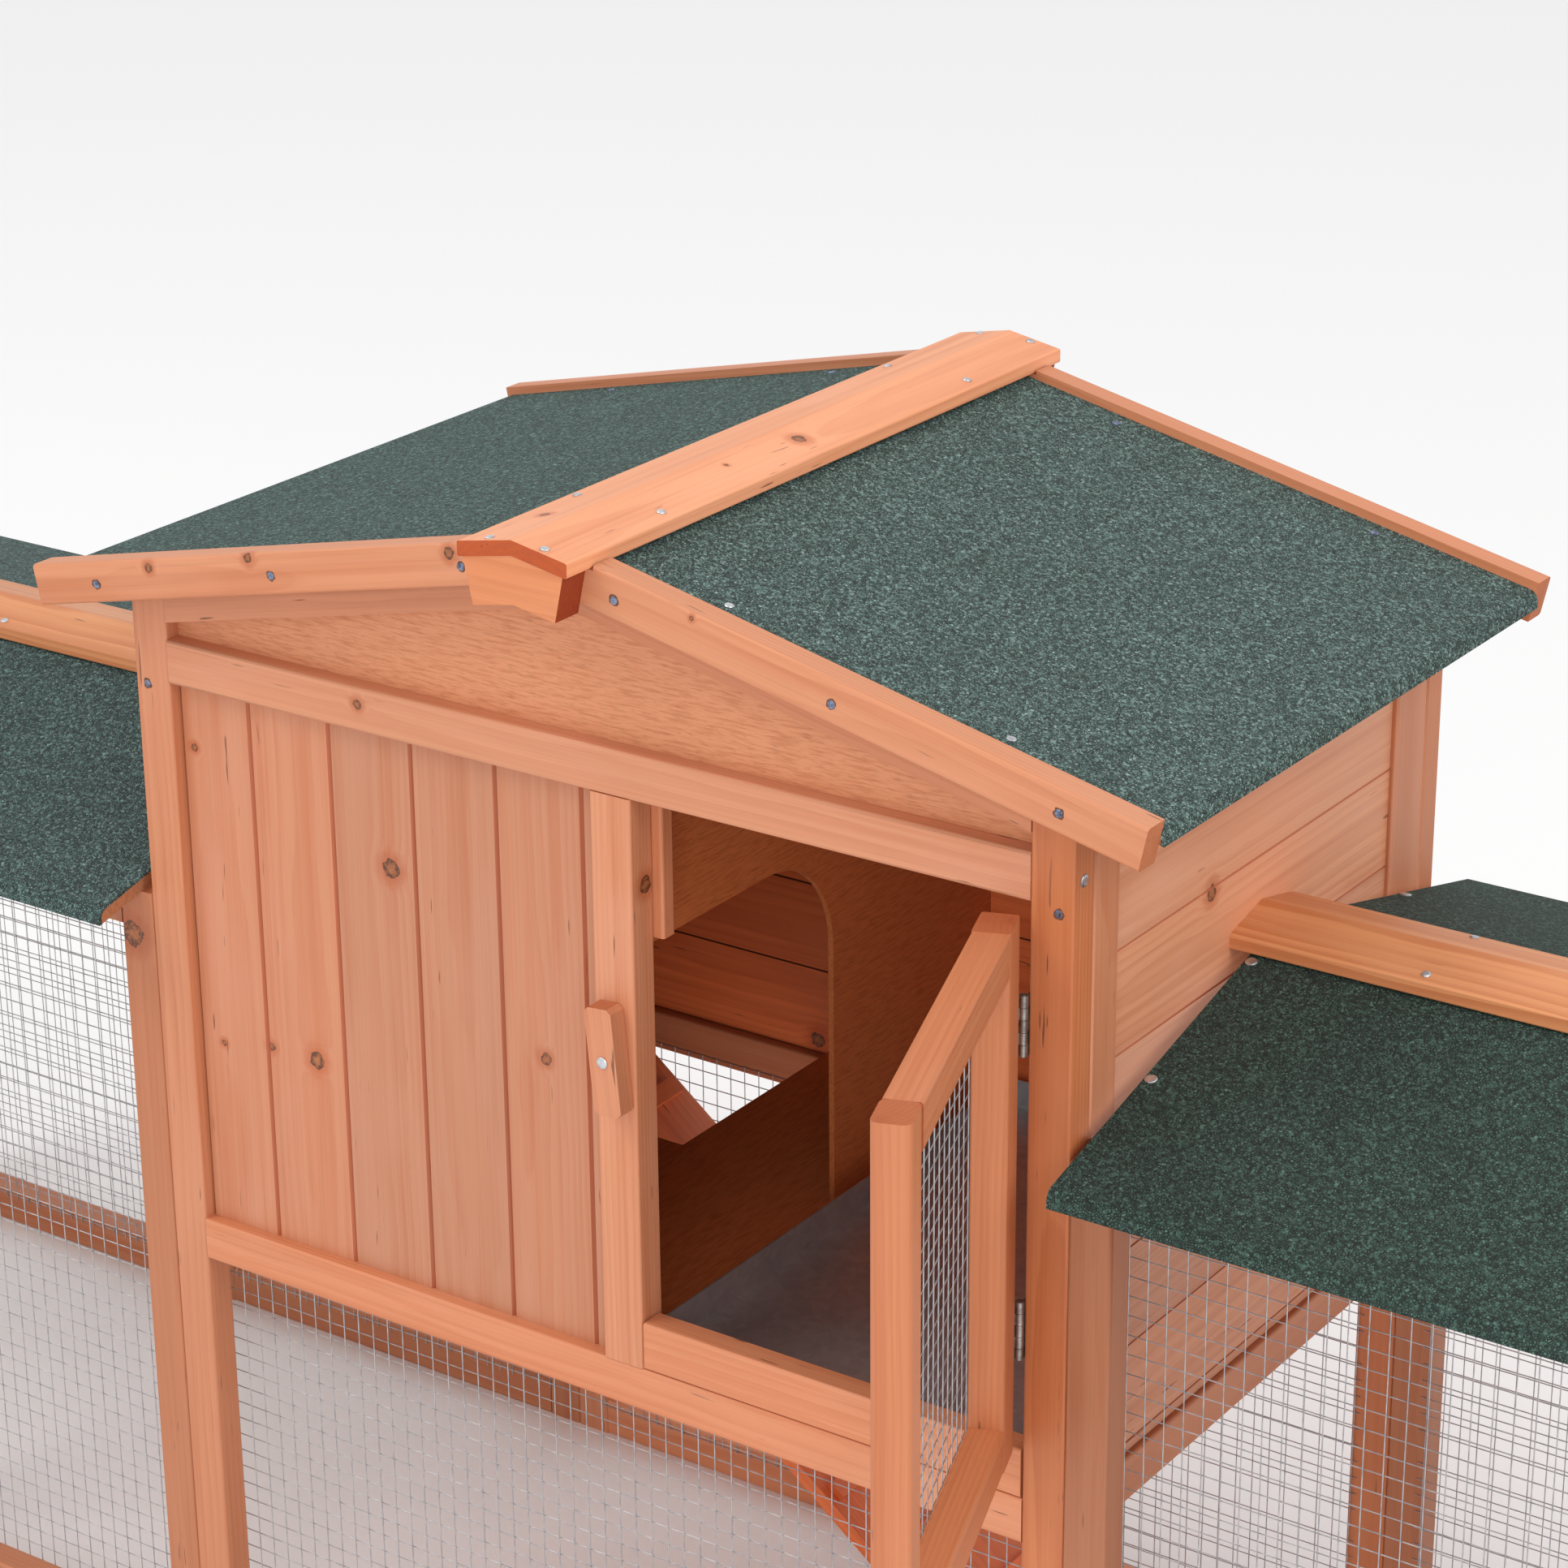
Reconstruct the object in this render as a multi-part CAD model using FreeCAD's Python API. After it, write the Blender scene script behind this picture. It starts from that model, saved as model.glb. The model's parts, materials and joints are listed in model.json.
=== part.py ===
import FreeCAD, Part
import math
import os

# Rabbit hutch: a raised two-room house with a felted gable roof, and a wire run at each side.
# Millimetres. +X to the right, +Y to the back, +Z up. The origin is on the ground under the
# middle of the house, halfway between its front and back faces.

os.makedirs("parts", exist_ok=True)
V = FreeCAD.Vector

# ---- driving dimensions: the whole hutch ----
overall_height = 930.0  # ground to the house's ridge
overall_length = 2300.0  # over the ends of the two runs' ridge caps
house_width = 700.0  # over the stiles' outer faces
house_depth = 459.0  # over the front and back frames' outer faces
ridge_above_barge = 4.8  # ridge cap's top above the peak of the barge boards' line
room_height = 383.0  # underside of the head rail down to the top of the sill rail

# ---- timber ----
stile_wide = 28.5
stile_deep = 22.0
rail_high = 30.0
easing = 2.0  # rounding along the timbers' edges
mullion_wide = 30.2
mullion_left = 14.3  # the mullion's left edge, to the right of the house's middle
plank_pitch = 66.2
front_plank_joint = 1.7  # a joint of the front planks, from the middle of the house
side_plank_start = 7.5  # first joint of the side planks above a whole number of pitches
plank_thick = 10.0
plank_chamfer = 0.8  # half of the V between two planks of a side or back wall
front_plank_chamfer = 1.8
narrowest_plank = 5.6
top_plank_margin = 20.0  # a side plank that ends this near the roof runs up to it
front_plank_recess = 9.0
side_plank_recess = 4.0
side_batten_front = 28.5
side_batten_back = 41.0

bearer_half = 22.0
bearer_high = 20.0

# ---- house roof ----
roof_pitch = 12.47  # degrees
felt_thick = 2.2
felt_below_barge = 6.0
roof_board_thick = 8.0
purlin_wide = 24.0
purlin_places = (57.0, 207.0)  # from the middle of the house
outer_purlin_past_stile = 13.0
barge_high = 27.2
barge_thick = 17.8
eave_overhang = 59.5  # tip of a barge board past the stiles
barge_above_head = 91.0  # the barge's top line above the head, at the stile's inner face
front_overhang = 7.5  # roof board past the front frame
back_overhang = 4.5
rafter_high = 21.0
rafter_deep = 12.0
eave_roll = 8.0  # radius of the felt round the eave
barge_easing = 2.5
cap_half_wide = 40.0
cap_drop = 7.4
cap_thick = 9.5
cap_easing = 1.5
cap_front_past_barge = 22.5
cap_back_past_barge = 16.0
cap_rest = 0.3  # barge boards let down below the cap's underside
cap_rest_gap = 1.6  # and clear of its edges
keystone_setback = 0.6
keystone_top_half = 36.5
keystone_bottom_half = 30.0
keystone_high = 45.0  # below the ridge cap's top
keystone_peak = 5.5  # rise of its bottom edge in the middle
gable_ply_thick = 4.0

# ---- house inside ----
floor_thick = 5.5
divider_thick = 4.0
divider_from_middle = 18.2
doorway_drop = 115.0  # top of the doorway between the rooms, below the head
doorway_reach = 226.0  # from the mullion's back face towards the back wall
doorway_radius = 75.0
hatch_from_wall = 50.0  # ramp hatch in the left room's floor, from the house's left side
hatch_wide = 188.0
hatch_long = 186.0  # from the back planks forward
door_stop_proud = 7.0
door_stop_deep = 12.0
door_stop_long = 96.0
door_stop_lap = 14.0  # behind the mullion

# ---- house door ----
door_open = 110.0  # degrees from closed at rest
door_gap = 1.5  # at its free side
door_head_gap = 7.0
door_foot_gap = 2.0
door_member = 28.0
hinge_long = 38.0
hinge_drop = 49.0  # top of the upper hinge below the door's top
hinge_rise = 60.0  # bottom of the lower hinge above the door's bottom
hinge_pin_radius = 1.25
hinge_knuckle_radius = 2.6
hinge_knuckle_gap = 0.4  # wood clear of the knuckles
hinge_pin_play = 0.05
hinge_leaf_thick = 1.0
hinge_leaf_wide = 16.0
hinge_end_play = 0.15
knuckles = 5
leaf_offset = 0.8  # from the pin's axis to the near face of a leaf
pin_proud = 2.2  # pin's axis in front of the timber's face
door_easing = 5.0

# ---- turn buttons ----
button_long = 71.0
button_wide = 20.2
button_thick = 13.0
button_chamfer = 3.0
button_tilt = 5.3  # degrees off upright at rest
button_drop = 170.0  # pivot below the head
button_gap = 0.4
button_play = 0.06
screw_radius = 1.9
screw_head_radius = 3.9
screw_head_thick = 1.2

# ---- tray ----
tray_front_high = 33.0
tray_front_thick = 18.0
tray_gap = 1.0
tray_wall = 1.0
tray_rim = 22.0
tray_clear = 0.4
tray_short = 8.0  # gap between the pan and the back planks

# ---- ramp ----
ramp_wide = 168.0
ramp_thick = 10.0
ramp_slope = 38.0  # degrees below level at rest
ramp_foot_gap = 1.0
ramp_batten = 5.0
ramp_batten_wide = 14.0
ramp_batten_inset = 8.0
ramp_batten_pitch = 62.0
ramp_tuck = 1.0  # cleat thicker than the ramp with its treads
ramp_side_gap = 3.5
ramp_set_back = 3.0  # pivot to the left of the hatch's edge

# ---- runs ----
run_head_drop = 180.0  # underside of the run's top rail below the house's head
run_rail_high = 27.0
run_roof_clear = 0.51  # roof board above the rails' outer top edge
run_pitch = 14.2  # degrees
run_eave_overhang = 40.3  # eave past the posts' outer face
run_roof_gap = 9.0  # roof panel's end clear of the house's side
run_eave_roll = 8.0
run_cap_half_wide = 39.6
run_cap_drop = 8.9
run_cap_thick = 10.0
run_cap_past_barge = 21.0
run_barge_high = 26.0
run_beam_wide = 22.0
run_beam_high = 26.0
run_sill_high = 30.0
mesh_thick = 1.6
run_door_gap = 2.0
mesh_lap = 6.0  # wire over the back of its frame
run_gable_thick = 8.0
run_barge_past_eave = 2.0

# ---- screws ----
barge_screw_places = (56.0, 206.0)  # from the middle of the house
outer_barge_screw_past_stile = 4.0
barge_screw_drop = 15.3
edge_screw_inset = 10.0  # through a stile or a felt's edge, from the timber's outer face
stile_screw_drop = 3.0  # below the head
side_screw_rise = 16.0  # above the head
felt_screw_place = 112.0  # from the middle of the house
outer_felt_screw_inset = 48.0  # from the stile's outer face
cap_end_screw = (6.0, 20.0)  # from the cap's end, from the ridge
cap_front_screw = (56.0, 31.0)  # from the front face, from the ridge
cap_back_screw = (65.0, 31.0)
run_felt_screw_places = (44.0, 162.0)  # from the run's ridge
run_felt_screw_inset = 4.5  # from the felt's house end
run_cap_screw_pitch = 200.0
run_cap_screw_start = 121.0  # from the house's side
run_cap_screw_place = 32.0  # from the run's ridge

# ---- making ----
cut_past = 1.0  # a cutting shape passes the faces it cuts by this much
same_place = 0.01  # points nearer than this are one point

# ---- levels and faces worked out from the above ----
half = house_width / 2
stile_in = half - stile_wide
slope = math.tan(math.radians(roof_pitch))
stand = 1 / math.cos(math.radians(roof_pitch))  # height of a sloped unit of thickness
barge_peak = barge_above_head + slope * stile_in  # the barge's top line carried to the middle
barge_reach = half + eave_overhang
head = overall_height - ridge_above_barge - barge_peak
sill_top = head - room_height
sill_bottom = sill_top - rail_high
floor_top = sill_top + floor_thick
front = -house_depth / 2
back = house_depth / 2
door_thick = stile_deep
knuckle_reach = hinge_knuckle_radius + hinge_knuckle_gap
run_slope = math.tan(math.radians(run_pitch))
run_stand = 1 / math.cos(math.radians(run_pitch))
run_head = head - run_head_drop
run_rail_top = run_head + run_rail_high
run_skin = (felt_thick + roof_board_thick) * run_stand
run_peak = run_rail_top + run_roof_clear + run_skin + run_slope * back


def save(name, solids):
    """Write one node: a single solid, or a group of separate solids."""
    shape = solids[0] if len(solids) == 1 else Part.makeCompound(solids)
    shape.exportStep("parts/" + name + ".step")


def box(x0, x1, y0, y1, z0, z1):
    return Part.makeBox(x1 - x0, y1 - y0, z1 - z0, V(x0, y0, z0))


def along(edge, axis):
    ends = [v.Point for v in edge.Vertexes]
    if len(ends) < 2:
        return False
    line = ends[1] - ends[0]
    return abs(abs(line.normalize().dot(axis)) - 1) < 1e-6


def eased(shape, axis, radius=easing):
    """Round the edges that run along one axis."""
    edges = [e for e in shape.Edges if along(e, axis)]
    return shape.makeFillet(radius, edges)


def chamfered(shape, axis, size):
    return shape.makeChamfer(size, [e for e in shape.Edges if along(e, axis)])


X, Y, Z = V(1, 0, 0), V(0, 1, 0), V(0, 0, 1)


def timber(x0, x1, y0, y1, z0, z1):
    """A square-cut length of timber with its long edges rounded."""
    sizes = ((x1 - x0, X), (y1 - y0, Y), (z1 - z0, Z))
    longest = max(sizes, key=lambda s: s[0])[1]
    shortest = min(s[0] for s in sizes)
    return eased(box(x0, x1, y0, y1, z0, z1), longest, min(easing, shortest / 4))


def prism(points, y0, y1):
    """A polygon in the XZ plane, given as (x, z), drawn out along Y."""
    wire = Part.makePolygon([V(x, y0, z) for x, z in points + points[:1]])
    return Part.Face(wire).extrude(V(0, y1 - y0, 0))


def left_of(shape):
    """The same piece on the other side of the house."""
    return shape.mirror(V(0, 0, 0), X)


def behind(shape):
    """The same piece on the other side of the middle of the depth."""
    return shape.mirror(V(0, 0, 0), Y)


def lengthways(shape):
    """Turn a piece made along Y so that it runs along X, its +X side to the front."""
    turned = shape.copy()
    turned.rotate(V(0, 0, 0), Z, -90)
    return turned


# ================= roof lines =================
def barge_top(x):
    return head + barge_peak - slope * abs(x)


def felt_top(x):
    return barge_top(x) - felt_below_barge


def board_top(x):
    return felt_top(x) - felt_thick * stand


def board_under(x):
    return board_top(x) - roof_board_thick * stand


def run_felt_top(y):
    return run_peak - run_slope * abs(y)


def run_board_top(y):
    return run_felt_top(y) - felt_thick * run_stand


def run_board_under(y):
    return run_board_top(y) - roof_board_thick * run_stand


def roof_layer(top, reach, inset, drop, roll, start, end):
    """One sloping layer with a rounded eave: (x, z) outline from the ridge to the eave, along Y.
    top is the layer's top line; drop its vertical thickness; roll the rounding at the eave."""
    edge = reach - inset
    tilt = math.atan(top(0) - top(1))
    # centre of the roll: tangent to the sloping top and to the upright eave face
    cx = edge - roll
    cz = top(cx) - roll / math.cos(tilt)
    touch = V(cx + roll * math.sin(tilt), start, cz + roll * math.cos(tilt))
    middle = math.pi / 4 - tilt / 2
    mid = V(cx + roll * math.cos(middle), start, cz + roll * math.sin(middle))
    side = V(edge, start, cz)
    foot = V(edge, start, top(edge) - drop)
    edges = [
        Part.LineSegment(V(0, start, top(0)), touch).toShape(),
        Part.Arc(touch, mid, side).toShape(),
        Part.LineSegment(side, foot).toShape(),
        Part.LineSegment(foot, V(0, start, top(0) - drop)).toShape(),
        Part.LineSegment(V(0, start, top(0) - drop), V(0, start, top(0))).toShape(),
    ]
    return Part.Face(Part.Wire(edges)).extrude(V(0, end - start, 0))


def roof_skin(felt_line, reach, roll, pitch_stand, start, end):
    """The board with its rounded eave, and the felt that lies on it and wraps the eave."""
    def board_line(x):
        return felt_line(x) - felt_thick * pitch_stand

    board_drop = roof_board_thick * pitch_stand
    board = roof_layer(board_line, reach, felt_thick, board_drop, roll - felt_thick, start, end)
    whole = roof_layer(felt_line, reach, 0, board_drop + felt_thick * pitch_stand, roll, start, end)
    return board, whole.cut(board).Solids[0]


def chevron(half_wide, top, drop, thick, start, end):
    """A shallow roof-shaped board: peak at the middle, both sides falling by drop."""
    outline = [
        (0, top), (half_wide, top - drop), (half_wide, top - drop - thick),
        (0, top - thick), (-half_wide, top - drop - thick), (-half_wide, top - drop),
    ]
    shape = prism(outline, start, end)
    outer = [
        e for e in shape.Edges
        if along(e, Y) and abs(abs(e.Vertexes[0].X) - half_wide) < same_place
    ]
    return shape.makeFillet(cap_easing, outer)


# ================= house: frame =================
def stile(y0, y1):
    outline = [(stile_in, 0), (half, 0), (half, board_under(half)), (stile_in, board_under(stile_in))]
    return eased(prism(outline, y0, y1), Z)


front_stile = stile(front, front + stile_deep)
back_stile = stile(back - stile_deep, back)
save("front_stile_right", [front_stile])
save("front_stile_left", [left_of(front_stile)])
save("back_stile_right", [back_stile])
save("back_stile_left", [left_of(back_stile)])

head_rail = timber(-stile_in, stile_in, front, front + stile_deep, head, head + rail_high)
sill_rail = timber(-stile_in, stile_in, front, front + stile_deep, sill_bottom, sill_top)
ground_rail = timber(-stile_in, stile_in, front, front + stile_deep, 0, rail_high)
save("front_top_rail", [head_rail])
save("front_bottom_rail", [sill_rail])
save("back_rails", [behind(head_rail), behind(sill_rail)])
bearer = timber(-bearer_half, bearer_half, front + stile_deep, back - stile_deep, 0, bearer_high)
save("base_rails", [ground_rail, behind(ground_rail), bearer])

mullion_right = mullion_left + mullion_wide
mullion = timber(mullion_left, mullion_right, front, front + stile_deep, sill_top, head)
save("mullion", [mullion])
stop_back = front + stile_deep + door_stop_deep
stop = timber(mullion_right - door_stop_lap, mullion_right + door_stop_proud,
              front + stile_deep, stop_back, head - door_stop_long, head)
save("door_stop", [stop])


def plank_row(low, high, origin):
    """Edges of the planks that fill low..high, with joints at origin + n * pitch."""
    first = math.floor((low - origin) / plank_pitch) + 1
    most = math.ceil((high - low) / plank_pitch)
    joints = [origin + n * plank_pitch for n in range(first, first + most)]
    inside = [j for j in joints if low + narrowest_plank < j < high - narrowest_plank]
    return list(zip([low] + inside, inside + [high]))


front_planks = []
plank_face = front + front_plank_recess
for x0, x1 in plank_row(-stile_in, mullion_left, front_plank_joint):
    board = box(x0, x1, plank_face, plank_face + plank_thick, sill_top, head)
    front_planks.append(chamfered(board, Z, front_plank_chamfer))
save("front_planks", front_planks)

# ================= house: side walls =================
rail_face_in = half - stile_deep
batten_front = front + stile_deep
batten_back = back - stile_deep
wall_front = batten_front + side_batten_front
wall_back = batten_back - side_batten_back


def wall_piece(x0, x1, y0, y1, z0):
    """An upright piece of the side wall, its top cut to the slope of the roof."""
    outline = [(x0, z0), (x1, z0), (x1, board_under(x1)), (x0, board_under(x0))]
    return prism(outline, y0, y1)


side_frame = [
    eased(wall_piece(rail_face_in, half, batten_front, wall_front, sill_bottom), Z),
    eased(wall_piece(rail_face_in, half, wall_back, batten_back, sill_bottom), Z),
    timber(rail_face_in, half, wall_front, wall_back, sill_bottom, sill_top),
]
side_out = half - side_plank_recess
side_in = side_out - plank_thick
side_planks = []
for z0, z1 in plank_row(sill_top, board_under(half), sill_top + side_plank_start):
    if z1 < board_under(side_out) - top_plank_margin:
        board = box(side_in, side_out, wall_front, wall_back, z0, z1)
        side_planks.append(chamfered(board, Y, plank_chamfer))
    else:
        side_planks.append(wall_piece(side_in, side_out, wall_front, wall_back, z0))
        break
save("side_frame_right", side_frame)
save("side_frame_left", [left_of(s) for s in side_frame])
save("side_planks_right", side_planks)
save("side_planks_left", [left_of(s) for s in side_planks])

# ================= house: back wall =================
back_out = back - side_plank_recess
back_in = back_out - plank_thick
back_planks = []
for z0, z1 in plank_row(sill_top, head, sill_top):
    board = box(-stile_in, stile_in, back_in, back_out, z0, z1)
    back_planks.append(chamfered(board, X, plank_chamfer))
save("back_planks", back_planks)

# ================= house: gables =================
rail_top = head + rail_high


def barge_under(x):
    return barge_top(x) - barge_high * stand


def rafter_under(x):
    return barge_under(x) - rafter_high * stand


def rafter(y0, y1):
    outline = [
        (0, rafter_under(0)), (stile_in, rafter_under(stile_in)),
        (stile_in, barge_under(stile_in)), (0, barge_under(0)),
    ]
    return prism(outline, y0, y1)


front_rafter = rafter(front, front + rafter_deep)
back_rafter = rafter(back - rafter_deep, back)
save("gable_rafters", [
    front_rafter, left_of(front_rafter), back_rafter, left_of(back_rafter),
])
ply_lap = rafter_high / 2  # how far the ply runs up behind the rafters


def gable_ply(y0):
    corner = rafter_under(stile_in) + ply_lap
    outline = [
        (-stile_in, rail_top), (stile_in, rail_top), (stile_in, corner),
        (0, rafter_under(0) + ply_lap), (-stile_in, corner),
    ]
    return prism(outline, y0, y0 + gable_ply_thick)


save("gable_panels", [
    gable_ply(front + rafter_deep),
    gable_ply(back - rafter_deep - gable_ply_thick),
])

# ================= house: roof =================
roof_front = front - front_overhang
roof_back = back + back_overhang
board, felt = roof_skin(felt_top, barge_reach, eave_roll, stand, roof_front, roof_back)
save("roof_boards", [board, left_of(board)])
save("roof_felt_right", [felt])
save("roof_felt_left", [left_of(felt)])

purlins = []
for place in purlin_places + (half + outer_purlin_past_stile,):
    x0, x1 = place - purlin_wide / 2, place + purlin_wide / 2
    outline = [
        (x0, barge_under(x0)), (x1, barge_under(x1)), (x1, board_under(x1)), (x0, board_under(x0)),
    ]
    purlins.append(prism(outline, roof_front, roof_back))
save("roof_purlins", purlins + [left_of(p) for p in purlins])

cap_top = overall_height
cap_under_slope = cap_drop / cap_half_wide


def cap_under(x):
    return cap_top - cap_thick - cap_under_slope * abs(x)


def barge(top, under_cap, high, pitch, tip, notch, start, end, outer_face):
    """A barge board drawn out along Y: square-cut tip, and its top let down under the ridge cap."""
    drop = high / math.cos(math.radians(pitch))
    lean = high * math.sin(math.radians(pitch))
    outline = [
        (0, top(0) - drop), (tip - lean, top(tip - lean) - drop), (tip, top(tip)),
        (notch, top(notch)), (notch, under_cap(notch) - cap_rest), (0, under_cap(0) - cap_rest),
    ]
    shape = prism(outline, start, end)
    shown = [
        e for e in shape.Edges
        if e.BoundBox.YLength < same_place and abs(e.BoundBox.YMin - outer_face) < same_place
        and e.BoundBox.XLength > 2 * high
    ]
    return shape.makeFillet(barge_easing, shown)


barge_front_face = roof_front - barge_thick
barge_back_face = roof_back + barge_thick
cap_notch = cap_half_wide + cap_rest_gap
barge_make = (barge_top, cap_under, barge_high, roof_pitch, barge_reach, cap_notch)
front_barge = barge(*barge_make, barge_front_face, roof_front, barge_front_face)
back_barge = barge(*barge_make, roof_back, barge_back_face, barge_back_face)
save("barge_boards_front", [front_barge, left_of(front_barge)])
save("barge_boards_back", [back_barge, left_of(back_barge)])

cap_front = barge_front_face - cap_front_past_barge
cap_back = barge_back_face + cap_back_past_barge
save("ridge_cap", [chevron(cap_half_wide, cap_top, cap_drop, cap_thick, cap_front, cap_back)])


def keystone(top, under_cap, start, end):
    """The block under the end of a ridge cap, in front of the barge boards."""
    foot = top - keystone_high
    outline = [
        (-keystone_bottom_half, foot), (0, foot + keystone_peak), (keystone_bottom_half, foot),
        (keystone_top_half, under_cap(keystone_top_half)), (0, under_cap(0)),
        (-keystone_top_half, under_cap(keystone_top_half)),
    ]
    return prism(outline, start, end)


save("keystones", [
    keystone(cap_top, cap_under, cap_front + keystone_setback, barge_front_face),
    keystone(cap_top, cap_under, barge_back_face, cap_back - keystone_setback),
])

# ================= house: floor, divider =================
floor_front = front + stile_deep
hatch_front = back_in - hatch_long
divider_right = divider_from_middle + divider_thick
hatch_left = -half + hatch_from_wall
hatch_right = hatch_left + hatch_wide
floor_outline = Part.makePolygon([
    V(-side_in, floor_front, sill_top), V(divider_right, floor_front, sill_top),
    V(divider_right, back_in, sill_top), V(hatch_right, back_in, sill_top),
    V(hatch_right, hatch_front, sill_top), V(hatch_left, hatch_front, sill_top),
    V(hatch_left, back_in, sill_top), V(-side_in, back_in, sill_top),
    V(-side_in, floor_front, sill_top),
])
left_floor = Part.Face(floor_outline).extrude(V(0, 0, floor_thick))
right_floor = box(divider_right, side_in, floor_front, back_in, sill_top, floor_top)
# notches round the side battens and the back stiles
notches = (
    (rail_face_in, front, wall_front), (rail_face_in, wall_back, back), (stile_in, batten_back, back),
)
for side in (-1, 1):
    for inner, y0, y1 in notches:
        x0, x1 = sorted((side * inner, side * half))
        corner = box(x0, x1, y0, y1, sill_top, floor_top)
        left_floor = left_floor.cut(corner)
        right_floor = right_floor.cut(corner)
save("floor_left", left_floor.Solids)
save("floor_right", right_floor.Solids)

doorway_top = head - doorway_drop
doorway_back = floor_front + doorway_reach
divider = box(divider_from_middle, divider_right, floor_front, back_in, floor_top, head)
doorway = box(divider_from_middle - cut_past, divider_right + cut_past,
              floor_front - cut_past, doorway_back, floor_top - cut_past, doorway_top)
corner_edge = [
    e for e in doorway.Edges
    if along(e, X) and abs(e.Vertexes[0].Y - doorway_back) < same_place
    and abs(e.Vertexes[0].Z - doorway_top) < same_place
]
doorway = doorway.makeFillet(doorway_radius, corner_edge)
save("divider_panel", [divider.cut(doorway)])


# ================= hinges =================
def barrel(length, parity, sign, bore):
    """One half of a butt hinge: every other knuckle round the Z axis, and a leaf towards +Y."""
    step = length / knuckles
    near, far = sorted((sign * leaf_offset, sign * (leaf_offset + hinge_leaf_thick)))
    leaf = box(near, far, knuckle_reach, hinge_leaf_wide, -length / 2, length / 2)
    for n in range(parity, knuckles, 2):
        z0 = -length / 2 + n * step + hinge_end_play
        z1 = z0 + step - 2 * hinge_end_play
        ring = Part.makeCylinder(hinge_knuckle_radius, z1 - z0, V(0, 0, z0))
        leaf = leaf.fuse(ring.fuse(box(near, far, 0, knuckle_reach, z0, z1)))
    hole = Part.makeCylinder(bore, length + 2 * cut_past, V(0, 0, -length / 2 - cut_past))
    return leaf.cut(hole).removeSplitter()


def hinge(length):
    """A closed butt hinge on the Z axis: the fixed leaf to +X, with the pin, the moving leaf to -X."""
    pin = Part.makeCylinder(hinge_pin_radius, length, V(0, 0, -length / 2))
    fixed = barrel(length, 0, 1, hinge_pin_radius)
    moving = barrel(length, 1, -1, hinge_pin_radius + hinge_pin_play)
    return [fixed, pin], [moving]


def placed(shapes, *moves):
    """Copies of the shapes, each turned and shifted by the moves in order: ("turn", axis, degrees)
    about the origin, or ("shift", vector)."""
    result = []
    for shape in shapes:
        piece = shape.copy()
        for move in moves:
            if move[0] == "turn":
                piece.rotate(V(0, 0, 0), move[1], move[2])
            else:
                piece.translate(move[1])
        result.append(piece)
    return result


# ================= mesh doors =================
def mesh_door(width, height):
    """A closed door in its own frame: the hinge pin is the Z axis, z = 0 the door's bottom, the
    door reaches towards -X and its outer face looks to -Y. Returns frame bars, mesh, leaves."""
    x1 = -leaf_offset - hinge_leaf_thick
    x0 = x1 - width
    y0 = pin_proud
    y1 = y0 + door_thick
    rails = [
        eased(box(x0 + door_member, x1 - door_member, y0, y1, 0, door_member), X),
        eased(box(x0 + door_member, x1 - door_member, y0, y1, height - door_member, height), X),
    ]
    stiles = [
        eased(box(x0, x0 + door_member, y0, y1, 0, height), Z, door_easing),
        eased(box(x1 - door_member, x1, y0, y1, 0, height), Z),
    ]
    lap = door_member - mesh_lap
    mesh = box(x0 + lap, x1 - lap, y1, y1 + mesh_thick, lap, height - lap)
    fixed, moving = hinge(hinge_long)
    heights = (height - hinge_drop - hinge_long / 2, hinge_rise + hinge_long / 2)
    fixed_set, moving_set = [], []
    for z in heights:
        fixed_set += placed(fixed, ("shift", V(0, 0, z)))
        moving_set += placed(moving, ("shift", V(0, 0, z)))
    return rails + stiles, [mesh], moving_set, fixed_set


# ================= turn buttons =================
def turn_button():
    """A wooden turn button in its own frame: pivot on the Y axis, back face at y = 0, upright.
    Returns the button and its pivot screw, which stands button_gap short of the wood behind."""
    x, z = button_wide / 2, button_long / 2
    body = chamfered(box(-x, x, -button_thick, 0, -z, z), Y, button_chamfer)
    body = body.cut(Part.makeCylinder(screw_radius + button_play, button_thick + 2 * cut_past,
                                      V(0, -button_thick - cut_past, 0), Y))
    shank = Part.makeCylinder(screw_radius, button_thick + button_gap + button_play,
                              V(0, -button_thick - button_play, 0), Y)
    top = Part.makeCylinder(screw_head_radius, screw_head_thick,
                            V(0, -button_thick - button_play - screw_head_thick, 0), Y)
    return body, shank.fuse(top).removeSplitter()


# ================= house door, its turn button =================
pin_x = stile_in - leaf_offset - hinge_leaf_thick
pin_y = front - pin_proud
tray_top = sill_top + tray_front_high
door_foot = tray_top + door_foot_gap
door_high = head - door_head_gap - door_foot
door_wide = pin_x - leaf_offset - hinge_leaf_thick - mullion_right - door_gap
door_bars, door_wire, leaves, frame_leaves = mesh_door(door_wide, door_high)
at_pin = ("shift", V(pin_x, pin_y, door_foot))
swung = ("turn", Z, door_open)
save("door_frame", placed(door_bars, swung, at_pin))
save("door_mesh", placed(door_wire, swung, at_pin))
save("door_hinge_leaves", placed(leaves, swung, at_pin))
fixed_hinges = placed(frame_leaves, at_pin)

button, button_screw = turn_button()
mullion_mid = mullion_left + mullion_wide / 2
button_place = ("shift", V(mullion_mid, front - button_gap, head - button_drop))
save("turn_button", placed([button], ("turn", Y, -button_tilt), button_place))
pivot_screws = placed([button_screw], button_place)

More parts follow.
